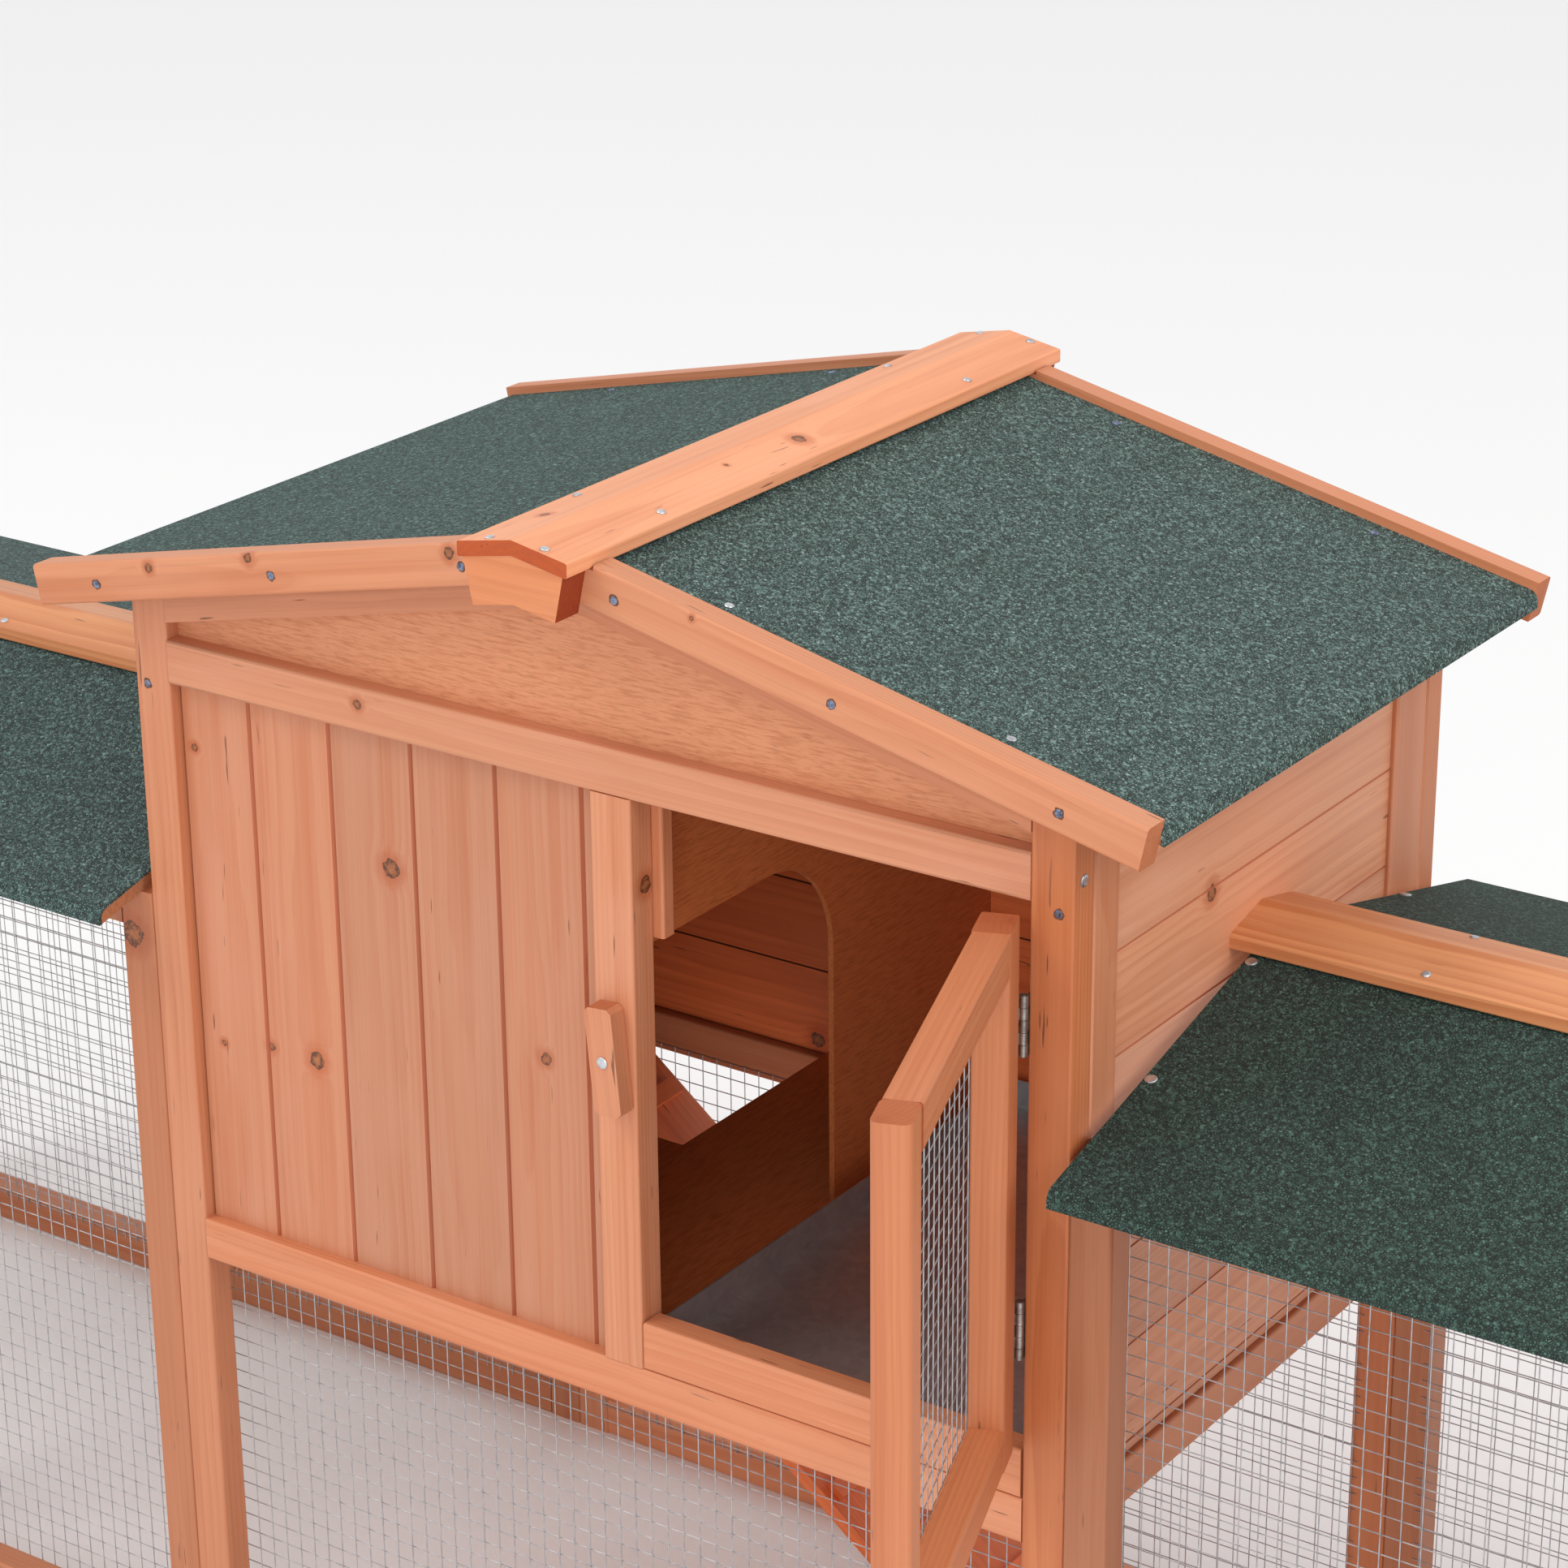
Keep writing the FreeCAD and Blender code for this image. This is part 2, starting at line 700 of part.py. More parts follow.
# ================= tray =================
tray_x0 = mullion_right + tray_gap
tray_x1 = stile_in - tray_gap
tray_y0 = front + tray_front_thick
tray_y1 = back_in - tray_short
tray_z0 = floor_top + tray_clear
tray = box(tray_x0, tray_x1, tray_y0, tray_y1, tray_z0, tray_z0 + tray_rim)
tray = tray.cut(box(tray_x0 + tray_wall, tray_x1 - tray_wall, tray_y0 + tray_wall,
                    tray_y1 - tray_wall, tray_z0 + tray_wall, tray_z0 + tray_rim + cut_past))
save("tray_pan", [tray])
save("tray_front", [timber(tray_x0, tray_x1, front, tray_y0, sill_top + tray_clear, tray_top)])

# ================= ramp =================
ramp_back = back - stile_deep - ramp_side_gap
ramp_front = ramp_back - ramp_wide
cleat_thick = ramp_thick + ramp_batten + ramp_tuck
pivot_z = sill_top - cleat_thick - leaf_offset - hinge_leaf_thick
pivot_x = hatch_left - ramp_set_back
cleat = box(-rail_face_in, pivot_x - knuckle_reach, ramp_front, ramp_back,
            sill_top - cleat_thick, sill_top)
save("ramp_cleat", [cleat])
ramp_rise = pivot_z - ramp_foot_gap
ramp_long = ramp_rise / math.sin(math.radians(ramp_slope)) - ramp_batten
under = leaf_offset + hinge_leaf_thick
deck = box(knuckle_reach, ramp_long, ramp_front, ramp_back, under, under + ramp_thick)
treads = []
place = ramp_batten_pitch
while place < ramp_long - ramp_batten_wide:
    treads.append(box(place, place + ramp_batten_wide, ramp_front + ramp_batten_inset,
                      ramp_back - ramp_batten_inset, under + ramp_thick,
                      under + ramp_thick + ramp_batten))
    place += ramp_batten_pitch
lowered = ("turn", Y, ramp_slope)
at_pivot = ("shift", V(pivot_x, 0, pivot_z))
save("ramp_board", placed([deck] + treads, lowered, at_pivot))
ramp_fixed, ramp_moving = hinge(hinge_long)
opened = ("turn", Z, 180)
# local X becomes up, local Y becomes -X of the house, the pin lies along Y
lay_down = (("turn", X, 90), ("turn", Y, -90))
ramp_leaves = []
for share in (0.25, 0.75):
    side = ("shift", V(0, ramp_front + share * ramp_wide, 0))
    ramp_leaves += placed(ramp_moving, opened, *lay_down, side, lowered, at_pivot)
    fixed_hinges += placed(ramp_fixed, *lay_down, side, at_pivot)
save("ramp_hinge_leaves", ramp_leaves)

# ================= wire panels under the house =================
wire_x = stile_in + mesh_lap
lower_front = box(-wire_x, wire_x, front + stile_deep, front + stile_deep + mesh_thick,
                  rail_high - mesh_lap, sill_bottom + mesh_lap)
save("lower_mesh", [lower_front, behind(lower_front)])

# ================= runs =================
run_end = overall_length / 2 - run_cap_past_barge - barge_thick - front_overhang
post_out = house_depth / 2
post_in = post_out - stile_deep


def run_post(x0, x1):
    outline = [
        (post_in, 0), (post_out, 0), (post_out, run_board_under(post_out)),
        (post_in, run_board_under(post_in)),
    ]
    return eased(lengthways(prism(outline, x0, x1)), Z)


run_mid = (half + run_end) / 2
bays = (
    (half + stile_wide, run_mid - stile_wide / 2),
    (run_mid + stile_wide / 2, run_end - stile_wide),
)
one_side = [
    run_post(half, half + stile_wide),
    run_post(run_mid - stile_wide / 2, run_mid + stile_wide / 2),
    run_post(run_end - stile_wide, run_end),
]
for x0, x1 in bays:
    one_side.append(timber(x0, x1, -post_out, -post_in, 0, run_sill_high))
    one_side.append(timber(x0, x1, -post_out, -post_in, run_head, run_rail_top))
end_rails = [
    timber(run_end - stile_deep, run_end, -post_in, post_in, 0, run_sill_high),
    timber(run_end - stile_deep, run_end, -post_in, post_in, run_head, run_rail_top),
]
gable_half = post_in
gable_outline = [
    (-gable_half, run_rail_top), (gable_half, run_rail_top),
    (gable_half, run_board_under(gable_half)), (0, run_board_under(0)),
    (-gable_half, run_board_under(gable_half)),
]
gable = lengthways(prism(gable_outline, run_end - run_gable_thick, run_end))
beam_top = run_board_under(run_beam_wide / 2)
beam = timber(side_out, run_end - run_gable_thick, -run_beam_wide / 2, run_beam_wide / 2,
              beam_top - run_beam_high, beam_top)
run_frame = one_side + [behind(s) for s in one_side] + end_rails

wire_front = box(half + stile_wide - mesh_lap, run_end - stile_wide + mesh_lap,
                 front + stile_deep, front + stile_deep + mesh_thick,
                 run_sill_high - mesh_lap, run_head + mesh_lap)
run_wires = [wire_front, behind(wire_front)]

run_reach = post_out + run_eave_overhang
run_roof_start = half + run_roof_gap
run_roof_end = run_end + front_overhang
run_board, run_felt = roof_skin(run_felt_top, run_reach, run_eave_roll, run_stand,
                                run_roof_start, run_roof_end)
run_boards = [lengthways(run_board), behind(lengthways(run_board))]
run_felts = [lengthways(run_felt), behind(lengthways(run_felt))]

run_cap_top = run_peak + run_cap_thick
run_barge_face = run_roof_end + barge_thick
run_cap_end = run_barge_face + run_cap_past_barge
run_cap = lengthways(chevron(run_cap_half_wide, run_cap_top, run_cap_drop, run_cap_thick,
                             side_out, run_cap_end))


def run_cap_under(y):
    return run_cap_top - run_cap_thick - run_cap_drop / run_cap_half_wide * abs(y)


def run_barge_top(y):
    return run_felt_top(y) + felt_below_barge


run_barge = lengthways(barge(
    run_barge_top, run_cap_under, run_barge_high, run_pitch, run_reach + run_barge_past_eave,
    run_cap_half_wide + cap_rest_gap, run_roof_end, run_barge_face, run_barge_face))
run_barges = [run_barge, behind(run_barge)]
run_keystone = lengthways(keystone(
    run_cap_top, run_cap_under, run_barge_face, run_cap_end - keystone_setback))

# the end door: same make as the house door, hung on the back post, facing outwards
end_pin_y = post_in - leaf_offset - hinge_leaf_thick
end_foot = run_sill_high + run_door_gap
end_high = run_head - run_door_gap - end_foot
end_wide = end_pin_y - leaf_offset - hinge_leaf_thick + post_in - run_door_gap
end_bars, end_wire, end_leaves, end_fixed = mesh_door(end_wide, end_high)
face_out = ("turn", Z, 90)
at_end = ("shift", V(run_end + pin_proud, end_pin_y, end_foot))
at_end_button = ("shift", V(
    run_end + button_gap, -post_in - stile_deep / 2, end_foot + end_high / 2))
end_button = placed([button], face_out, at_end_button)
end_screw = placed([button_screw], face_out, at_end_button)

run_parts = {
    "run_frame": run_frame,
    "run_roof_felts": run_felts,
    "run_door_frame": placed(end_bars, face_out, at_end),
    "run_door_mesh": placed(end_wire, face_out, at_end),
    "run_door_leaves": placed(end_leaves, face_out, at_end),
    "run_turn_button": end_button,
}
for name, solids in run_parts.items():
    save(name + "_right", solids)
    save(name + "_left", [left_of(s) for s in solids])
shared_parts = {
    "run_ridge_beams": [beam],
    "run_gables": [gable],
    "run_mesh": run_wires,
    "run_roof_boards": run_boards,
    "run_ridge_caps": [run_cap],
    "run_barge_boards": run_barges + [run_keystone],
}
for name, solids in shared_parts.items():
    save(name, solids + [left_of(s) for s in solids])
run_fixed = placed(end_fixed, face_out, at_end)
fixed_hinges += run_fixed + [left_of(s) for s in run_fixed]
pivot_screws += end_screw + [left_of(s) for s in end_screw]
save("hinge_frame_leaves", fixed_hinges)
save("button_screws", pivot_screws)


# ================= screws =================
def screw_head(place, normal):
    """A domed screw head lying on a face at the given place."""
    disc = Part.makeCylinder(screw_head_radius, screw_head_thick, V(*place), V(*normal))
    return disc


screws = []
cap_screws = (
    (cap_front + cap_end_screw[0], cap_end_screw[1]),
    (front + cap_front_screw[0], cap_front_screw[1]),
    (back - cap_back_screw[0], cap_back_screw[1]),
    (cap_back - cap_end_screw[0], cap_end_screw[1]),
)
run_fall = run_cap_drop / run_cap_half_wide
run_cap_screw_z = run_cap_top - run_fall * run_cap_screw_place
for side in (-1, 1):
    for x in barge_screw_places + (half + outer_barge_screw_past_stile,):
        z = barge_top(x) - barge_screw_drop
        screws.append(screw_head((side * x, barge_front_face, z), (0, -1, 0)))
        screws.append(screw_head((side * x, barge_back_face, z), (0, 1, 0)))
    stile_screw_x = side * (half - edge_screw_inset)
    screws.append(screw_head((stile_screw_x, front, head - stile_screw_drop), (0, -1, 0)))
    screws.append(screw_head((stile_screw_x, back, head - stile_screw_drop), (0, 1, 0)))
    for y in (front + edge_screw_inset, back - edge_screw_inset):
        screws.append(screw_head((side * half, y, head + side_screw_rise), (side, 0, 0)))
        for x in (felt_screw_place, half - outer_felt_screw_inset):
            screws.append(screw_head((side * x, y, felt_top(x)), (side * slope, 0, 1)))
    for y, x in cap_screws:
        place = (side * x, y, cap_top - cap_under_slope * x)
        screws.append(screw_head(place, (side * cap_under_slope, 0, 1)))
    for face in (-1, 1):
        x = half + run_cap_screw_start
        while x < run_end:
            place = (side * x, face * run_cap_screw_place, run_cap_screw_z)
            screws.append(screw_head(place, (0, face * run_fall, 1)))
            x += run_cap_screw_pitch
        for x in (run_roof_start + run_felt_screw_inset, run_roof_end - edge_screw_inset):
            for y in run_felt_screw_places:
                place = (side * x, face * y, run_felt_top(y))
                screws.append(screw_head(place, (0, face * run_slope, 1)))
save("screws", screws)
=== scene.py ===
# %% [markdown]
# # A wooden rabbit hutch with a wire run on each side
# The joiner's model of the hutch comes first, as a fixed frame: every timber, sheet and screw is
# already the right size and in the right place, in metres. This script dresses that frame. It
# gives each board its own grain, cuts the screw heads, weaves the wire, and lights the result.

# %% Load the frame
import json
import math
import random

import bmesh
import bpy
from mathutils import Matrix, Vector

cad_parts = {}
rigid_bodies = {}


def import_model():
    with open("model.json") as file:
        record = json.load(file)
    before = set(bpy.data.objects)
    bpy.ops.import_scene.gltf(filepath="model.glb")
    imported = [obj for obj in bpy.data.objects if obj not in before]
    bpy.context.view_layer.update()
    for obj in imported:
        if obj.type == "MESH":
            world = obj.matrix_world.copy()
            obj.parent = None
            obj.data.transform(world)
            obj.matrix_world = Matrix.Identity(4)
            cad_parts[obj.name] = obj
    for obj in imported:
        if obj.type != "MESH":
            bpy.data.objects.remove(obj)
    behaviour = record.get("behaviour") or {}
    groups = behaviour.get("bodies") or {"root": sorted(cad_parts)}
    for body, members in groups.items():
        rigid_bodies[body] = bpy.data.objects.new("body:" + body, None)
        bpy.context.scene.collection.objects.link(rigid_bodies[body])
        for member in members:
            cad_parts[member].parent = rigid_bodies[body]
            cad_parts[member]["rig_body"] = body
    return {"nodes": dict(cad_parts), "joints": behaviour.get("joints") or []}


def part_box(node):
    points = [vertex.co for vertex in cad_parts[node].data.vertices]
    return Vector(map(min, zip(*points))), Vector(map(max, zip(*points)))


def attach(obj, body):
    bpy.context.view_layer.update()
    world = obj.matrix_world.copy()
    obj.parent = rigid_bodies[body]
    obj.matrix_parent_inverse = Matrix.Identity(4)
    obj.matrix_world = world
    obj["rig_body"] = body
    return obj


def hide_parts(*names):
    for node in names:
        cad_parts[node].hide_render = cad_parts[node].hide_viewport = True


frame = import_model()
nodes = frame["nodes"]
joints = {joint["name"]: joint for joint in frame["joints"]}
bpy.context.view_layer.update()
MM = 0.001

# %% [markdown]
# ## Writing a finish as plain sums
# A finish is a small network of shader nodes. Wiring nodes one by one hides the idea behind
# them, so a wire from a node is wrapped in a class that knows arithmetic: `1 - mask * 0.5`
# adds the Math nodes by itself. A second class holds the material, makes any other node, and
# joins the results to the surface shader.


# %% A wire that can be added and multiplied
class Wire:
    """The output of a shader node. Arithmetic on it adds Math nodes."""

    def __init__(self, finish, socket):
        self.finish = finish
        self.socket = socket

    def sum_of(self, operation, *values):
        inputs = dict(enumerate(values))
        return self.finish.node("ShaderNodeMath", {"operation": operation}, inputs)

    def __add__(self, other):
        return self.sum_of("ADD", self, other)

    def __sub__(self, other):
        return self.sum_of("SUBTRACT", self, other)

    def __rsub__(self, other):
        return self.sum_of("SUBTRACT", other, self)

    def __mul__(self, other):
        return self.sum_of("MULTIPLY", self, other)

    def __truediv__(self, other):
        return self.sum_of("DIVIDE", self, other)

    def __pow__(self, other):
        return self.sum_of("POWER", self, other)

    def __gt__(self, other):
        return self.sum_of("GREATER_THAN", self, other)

    __radd__ = __add__
    __rmul__ = __mul__

    def fraction(self):
        return self.sum_of("FRACT", self)

    def limited(self):
        """Held between 0 and 1."""
        return self.finish.node("ShaderNodeClamp", {}, {0: self})

    def between(self, low, high):
        """Rises smoothly from 0 at low to 1 at high."""
        settings = {"interpolation_type": "SMOOTHSTEP"}
        return self.finish.node("ShaderNodeMapRange", settings, {0: self, 1: low, 2: high})


# %% A finish: one material in the making
class Finish:
    """A material, with one method that makes any node it needs."""

    def __init__(self, name):
        self.material = bpy.data.materials.new(name)
        self.material.use_nodes = True
        self.tree = self.material.node_tree
        self.surface = self.tree.nodes["Principled BSDF"]

    def fill(self, node, inputs):
        for name, value in inputs.items():
            if isinstance(value, Wire):
                self.tree.links.new(value.socket, node.inputs[name])
            else:
                node.inputs[name].default_value = value

    def node(self, kind, settings, inputs, output=0):
        made = self.tree.nodes.new(kind)
        for name, value in settings.items():
            setattr(made, name, value)
        self.fill(made, inputs)
        return Wire(self, made.outputs[output])

    def attribute(self, name, output):
        return self.node("ShaderNodeAttribute", {"attribute_name": name}, {}, output)

    def place(self):
        return self.node("ShaderNodeTexCoord", {}, {}, "Object")

    def parts_of(self, vector):
        split = self.tree.nodes.new("ShaderNodeSeparateXYZ")
        self.tree.links.new(vector.socket, split.inputs[0])
        return [Wire(self, socket) for socket in split.outputs]

    def vector(self, x, y, z):
        return self.node("ShaderNodeCombineXYZ", {}, {0: x, 1: y, 2: z})

    def noise(self, vector, scale=1.0, detail=2.0):
        """Cloudy spots from 0 to 1, so many to the metre."""
        inputs = {"Vector": vector, "Scale": scale, "Detail": detail}
        return self.node("ShaderNodeTexNoise", {}, inputs)

    def drawn_out(self, place, along, across, detail=2.0, shift=None):
        """Noise with so many spots to the metre along the grain, and so many across it."""
        x, y, z = place
        deep = z * across if shift is None else z * across + shift
        return self.noise(self.vector(x * along, y * across, deep), detail=detail)

    def cells(self, vector, scale, output="Distance", feature="F1"):
        """A field of stones, so many to the metre: the distance to one, or its own colour."""
        inputs = {"Vector": vector, "Scale": scale}
        return self.node("ShaderNodeTexVoronoi", {"feature": feature}, inputs, output)

    def mix(self, share, first, second, blend="MIX"):
        settings = {"data_type": "RGBA", "blend_type": blend, "clamp_factor": True}
        return self.node("ShaderNodeMix", settings, {0: share, 6: first, 7: second}, 2)

    def shaded(self, colour, *shades):
        """The colour times one shade, or times a shade each for red, green and blue."""
        red, green, blue = shades if len(shades) == 3 else shades * 3
        return self.mix(1.0, colour, self.vector(red, green, blue), "MULTIPLY")

    def done(self, colour, roughness, height=None, depth=MM, **others):
        """Join the results to the surface: height times depth, in metres, is the relief."""
        self.fill(self.surface, {"Base Color": colour, "Roughness": roughness, **others})
        if height is not None:
            relief = {"Height": height, "Strength": 1.0, "Distance": depth}
            self.fill(self.surface, {"Normal": self.node("ShaderNodeBump", {}, relief)})
        print("finish", self.material.name, "with", len(self.tree.nodes), "nodes")
        return self.material


def rgb(red, green, blue):
    return (red, green, blue, 1.0)


# %% [markdown]
# ## Pine
# A board is a slice of a log, and its grain is where the slice cuts the log's rings. So the
# finish doesn't paint lines: it holds a log, whose rings are circles round a heart that lies
# just outside the board, made uneven by slow noise. The faces then show long lines and the
# ends show arcs, and they meet at the edges as they do in wood. Each board carries its own
# place in its own log, as an attribute of its mesh, so no two boards match. Fine fibres, warm
# patches, torn specks and a few knots lie over the rings. A knot is the root of a branch: a
# dark bark line round a brown core with a paler heart, and the grain flows round it.


# %% Knots
KNOTS_PER_METRE = 7.0  # cells that could each hold one
KNOT_CHANCE = 0.15
EDGE_DETAIL = 220.0  # the wobbles of a knot's outline, to the metre
EDGE_WOBBLE = 0.014  # in cells
OWN_EDGE_WOBBLE = 0.9  # in knot radii
BEND_REACH, OWN_BEND_REACH = 0.16, 4.0  # how far the grain bends, in cells and in knot radii
CORE, HALO, EYE = (0.026, 0.038), (0.036, 0.10), (0.010, 0.026)  # where each fades, in cells
OWN_CORE, OWN_HALO, OWN_EYE = (0.8, 1.05), (1.0, 2.6), (0.25, 0.7)  # and in knot radii


def knot_masks(f, flat, knots, own_knots):
    """How near a point is to a knot, the dark knot itself, the stained ring round it, and its
    paler heart. Chance places most knots; own_knots gives the rest, in metres."""
    bend = f.noise(flat, EDGE_DETAIL, 3.0) - 0.5
    stem = f.cells(flat, KNOTS_PER_METRE) + bend * EDGE_WOBBLE
    lot = f.parts_of(f.cells(flat, KNOTS_PER_METRE, "Color"))
    chosen = lot[0] > (1.0 - KNOT_CHANCE * knots)
    size = lot[1] * 0.5 + 0.6
    near = (1.0 - stem / BEND_REACH).limited() * chosen
    core = (1.0 - (stem / size).between(*CORE)) * chosen
    halo = (1.0 - (stem / size).between(*HALO)) * chosen
    eye = (1.0 - (stem / size).between(*EYE)) * chosen
    place = f.place()
    for spot, radius in own_knots:
        settings, ends = {"operation": "DISTANCE"}, {0: place, 1: spot}
        reach = f.node("ShaderNodeVectorMath", settings, ends, "Value")
        reach = reach + bend * (radius * OWN_EDGE_WOBBLE)
        near = near + (1.0 - reach / (radius * OWN_BEND_REACH)).limited()
        core = core + (1.0 - reach.between(*(radius * edge for edge in OWN_CORE)))
        halo = halo + (1.0 - reach.between(*(radius * edge for edge in OWN_HALO)))
        eye = eye + (1.0 - reach.between(*(radius * edge for edge in OWN_EYE)))
    return near.limited(), core.limited(), halo.limited(), eye.limited()


# %% Pine colours
TONE = 0.16  # how far a board may be darker than the palest
WARM_TINT, WARM_SHARE = (1.0, 0.88, 0.74), 0.4
END_TINT = (0.80, 0.62, 0.48)
# The grooves between planks: a deeper stain, darkened further as painted shade in the groove.
SEAM_STAIN_AND_SHADE, SEAM_SHARE = (0.385, 0.088, 0.028), 0.85
KNOT_CORE, KNOT_RINGS = (0.060, 0.018, 0.006), (0.26, 0.078, 0.020)
KNOT_HEART, KNOT_BARK = (0.38, 0.130, 0.042), (0.035, 0.012, 0.006)
TORN, TORN_SHARE = (0.14, 0.046, 0.020), 0.85
PINE_RELIEF = 0.22 * MM


# %% Pine finish
def pine(name, early, late, rings=0.22, ring=3.4 * MM, knots=1.0, own_knots=(),
         end_tint=END_TINT, seam_stain_and_shade=SEAM_STAIN_AND_SHADE):
    """Planed pine of one light and one dark colour. The rings' strength is from 0 to 1."""
    f = Finish(name)
    mark = f.attribute("board_mark", "Fac")
    end = f.attribute("end_grain", "Fac")
    groove = f.attribute("groove", "Fac")
    log = f.parts_of(f.attribute("log_place", "Vector"))
    along, across, deep = log

    wander = f.drawn_out(log, 2.0, 9.0, 3.0) - 0.5
    ripple = f.drawn_out(log, 14.0, 60.0) - 0.5
    flat = f.vector(along, across + deep * 0.55, mark * 9.0)
    near, core, halo, eye = knot_masks(f, flat, knots, own_knots)
    radius = (across * across + deep * deep) ** 0.5
    radius = radius + wander * 0.016 + ripple * 0.0012 + near * near * 0.006
    phase = (radius / ring).fraction()
    late_wood = phase.between(0.2, 0.93) * (1.0 - phase.between(0.93, 1.0))

    fibre = f.drawn_out(log, 9.0, 620.0)
    streak = f.drawn_out(log, 1.6, 75.0, 3.0)
    cloud = f.drawn_out(log, 3.0, 12.0)
    blush = f.drawn_out(log, 7.0, 26.0, shift=mark * 5.0)
    lines = f.drawn_out(log, 3.0, 420.0, 3.0, shift=mark * 7.0)
    tears = f.drawn_out(log, 26.0, 330.0, 1.0)
    torn = tears.between(0.715, 0.765) * blush.between(0.48, 0.62)

    colour = f.mix(late_wood * rings * (cloud * 1.2 + 0.4), rgb(*early), rgb(*late))
    colour = f.mix(streak.between(0.45, 0.75) * 0.40, colour, rgb(*late))
    thin_lines = lines.between(0.56, 0.70) * 0.30 * blush.between(0.3, 0.6)
    colour = f.mix(thin_lines, colour, rgb(*late))
    warm = f.mix(1.0, colour, rgb(*WARM_TINT), "MULTIPLY")
    colour = f.mix(mark * WARM_SHARE, colour, warm)
    pale = rgb(early[0] * 1.04, early[1] * 1.10, early[2] * 1.22)
    colour = f.mix(blush.between(0.45, 0.75) * 0.5, colour, pale)
    rim = rgb(late[0] * 0.95, late[1] * 0.75, late[2] * 0.55)
    colour = f.mix(halo * 0.55, colour, rim)
    rings_in_knot = f.noise(flat, 420.0, 3.0).between(0.40, 0.60)
    heart = f.mix(rings_in_knot, rgb(*KNOT_CORE), rgb(*KNOT_RINGS))
    heart = f.mix(eye * 0.65, heart, rgb(*KNOT_HEART))
    colour = f.mix(core * 0.92, colour, heart)
    bark = core.between(0.02, 0.5) * (1.0 - core.between(0.6, 1.0))
    colour = f.mix(bark * 0.85, colour, rgb(*KNOT_BARK))
    colour = f.mix(torn * TORN_SHARE, colour, rgb(*TORN))
    # the plank grooves: stain and painted shade
    colour = f.mix(groove * SEAM_SHARE, colour, rgb(*seam_stain_and_shade))
    colour = f.mix(end, colour, f.mix(1.0, colour, rgb(*end_tint), "MULTIPLY"))
    shade = (fibre * 0.20 + 0.90) * (mark * TONE + (1.0 - TONE / 2)) * (cloud * 0.14 + 0.93)
    height = late_wood * 0.2 + fibre * 0.35 + streak * 0.3
    height = height - core * 0.3 - torn * 0.5 + end * ripple
    rough = 0.46 + fibre * 0.16 + end * 0.2 - late_wood * 0.05
    return f.done(f.shaded(colour, shade), rough, height, PINE_RELIEF)


# %% The pines of the hutch
EARLY, LATE = (0.570, 0.222, 0.108), (0.415, 0.103, 0.027)
CAP_END = (0.55, 0.22, 0.052)
KEYSTONE_END = (0.43, 0.15, 0.020)
CAP_RING = 5.0 * MM
cap_knots = (
    ((0.0187, -0.0114, 0.9265), 5.0 * MM), ((0.0141, -0.0832, 0.9274), 1.6 * MM),
    ((-0.0198, -0.2191, 0.9263), 3.5 * MM),
)
post_knots = (((-0.3693, -0.2295, 0.5782), 9.0 * MM),)
back_knots = (((-0.1246, 0.2155, 0.3900), 6.0 * MM),)
outdoor_pine = pine("planed_pine", EARLY, LATE)
run_pine = pine("run_frame_pine", (0.430, 0.162, 0.074), (0.330, 0.080, 0.022),
                own_knots=post_knots)
ruddy_pine = pine("ruddy_pine", (0.510, 0.168, 0.060), (0.370, 0.084, 0.020), rings=0.4)
door_pine = pine("door_pine", (0.520, 0.180, 0.073), (0.385, 0.090, 0.024))
# Near-black grooves between the back planks: painted shade in the gaps.
inner_pine = pine("inner_pine", (0.765, 0.178, 0.047), (0.520, 0.088, 0.017), rings=0.35,
                  knots=1.5, own_knots=back_knots, seam_stain_and_shade=(0.04, 0.010, 0.004))
keystone_pine = pine("keystone_pine", (0.605, 0.218, 0.088), LATE, end_tint=KEYSTONE_END)
cap_pine = pine("ridge_cap_pine", (0.755, 0.320, 0.160), (0.50, 0.13, 0.034), rings=0.2,
                ring=CAP_RING, knots=0.3, own_knots=cap_knots, end_tint=CAP_END)
run_cap_pine = pine("run_cap_pine", (0.640, 0.265, 0.108), (0.42, 0.105, 0.025), rings=0.5,
                    ring=CAP_RING, end_tint=CAP_END)

# %% [markdown]
# ## Each board in its own log
# The frame's meshes are loose triangles, and one node can hold many boards. A closed solid
# uses every edge twice, once each way, so walking through the triangles in order shows where
# one board ends: every edge met so far has met its partner. Inside one board the doubled
# corners are merged and the flat faces joined. Its longest edge is the direction of the
# grain, and its widest face is the one that looks to the bark or to the heart.


# %% Sorting triangles into boards
CORNER_DIGITS = 7  # corners that agree to so many decimals of a metre are the same
SAME_CORNER = 0.002 * MM
SAME_PLANE = math.radians(0.4)


def corner_key(vert):
    return tuple(round(value, CORNER_DIGITS) for value in vert.co)


def once_each(items):
    """The items in the order they are met. A set of mesh parts has another order in each run,
    and then a board's grain could be drawn from either end."""
    return list(dict.fromkeys(items))


def closed_solids(work):
    """The triangles of a frame mesh as a list of closed solids, each a list of faces."""
    solids, waiting, current = [], set(), []
    for face in work.faces:
        corners = [corner_key(vert) for vert in face.verts]
        for start, end in zip(corners, corners[1:] + corners[:1]):
            if (end, start) in waiting:
                waiting.remove((end, start))
            else:
                waiting.add((start, end))
        current.append(face)
        if not waiting:
            solids.append(current)
            current = []
    if current:
        solids.append(current)
    return solids


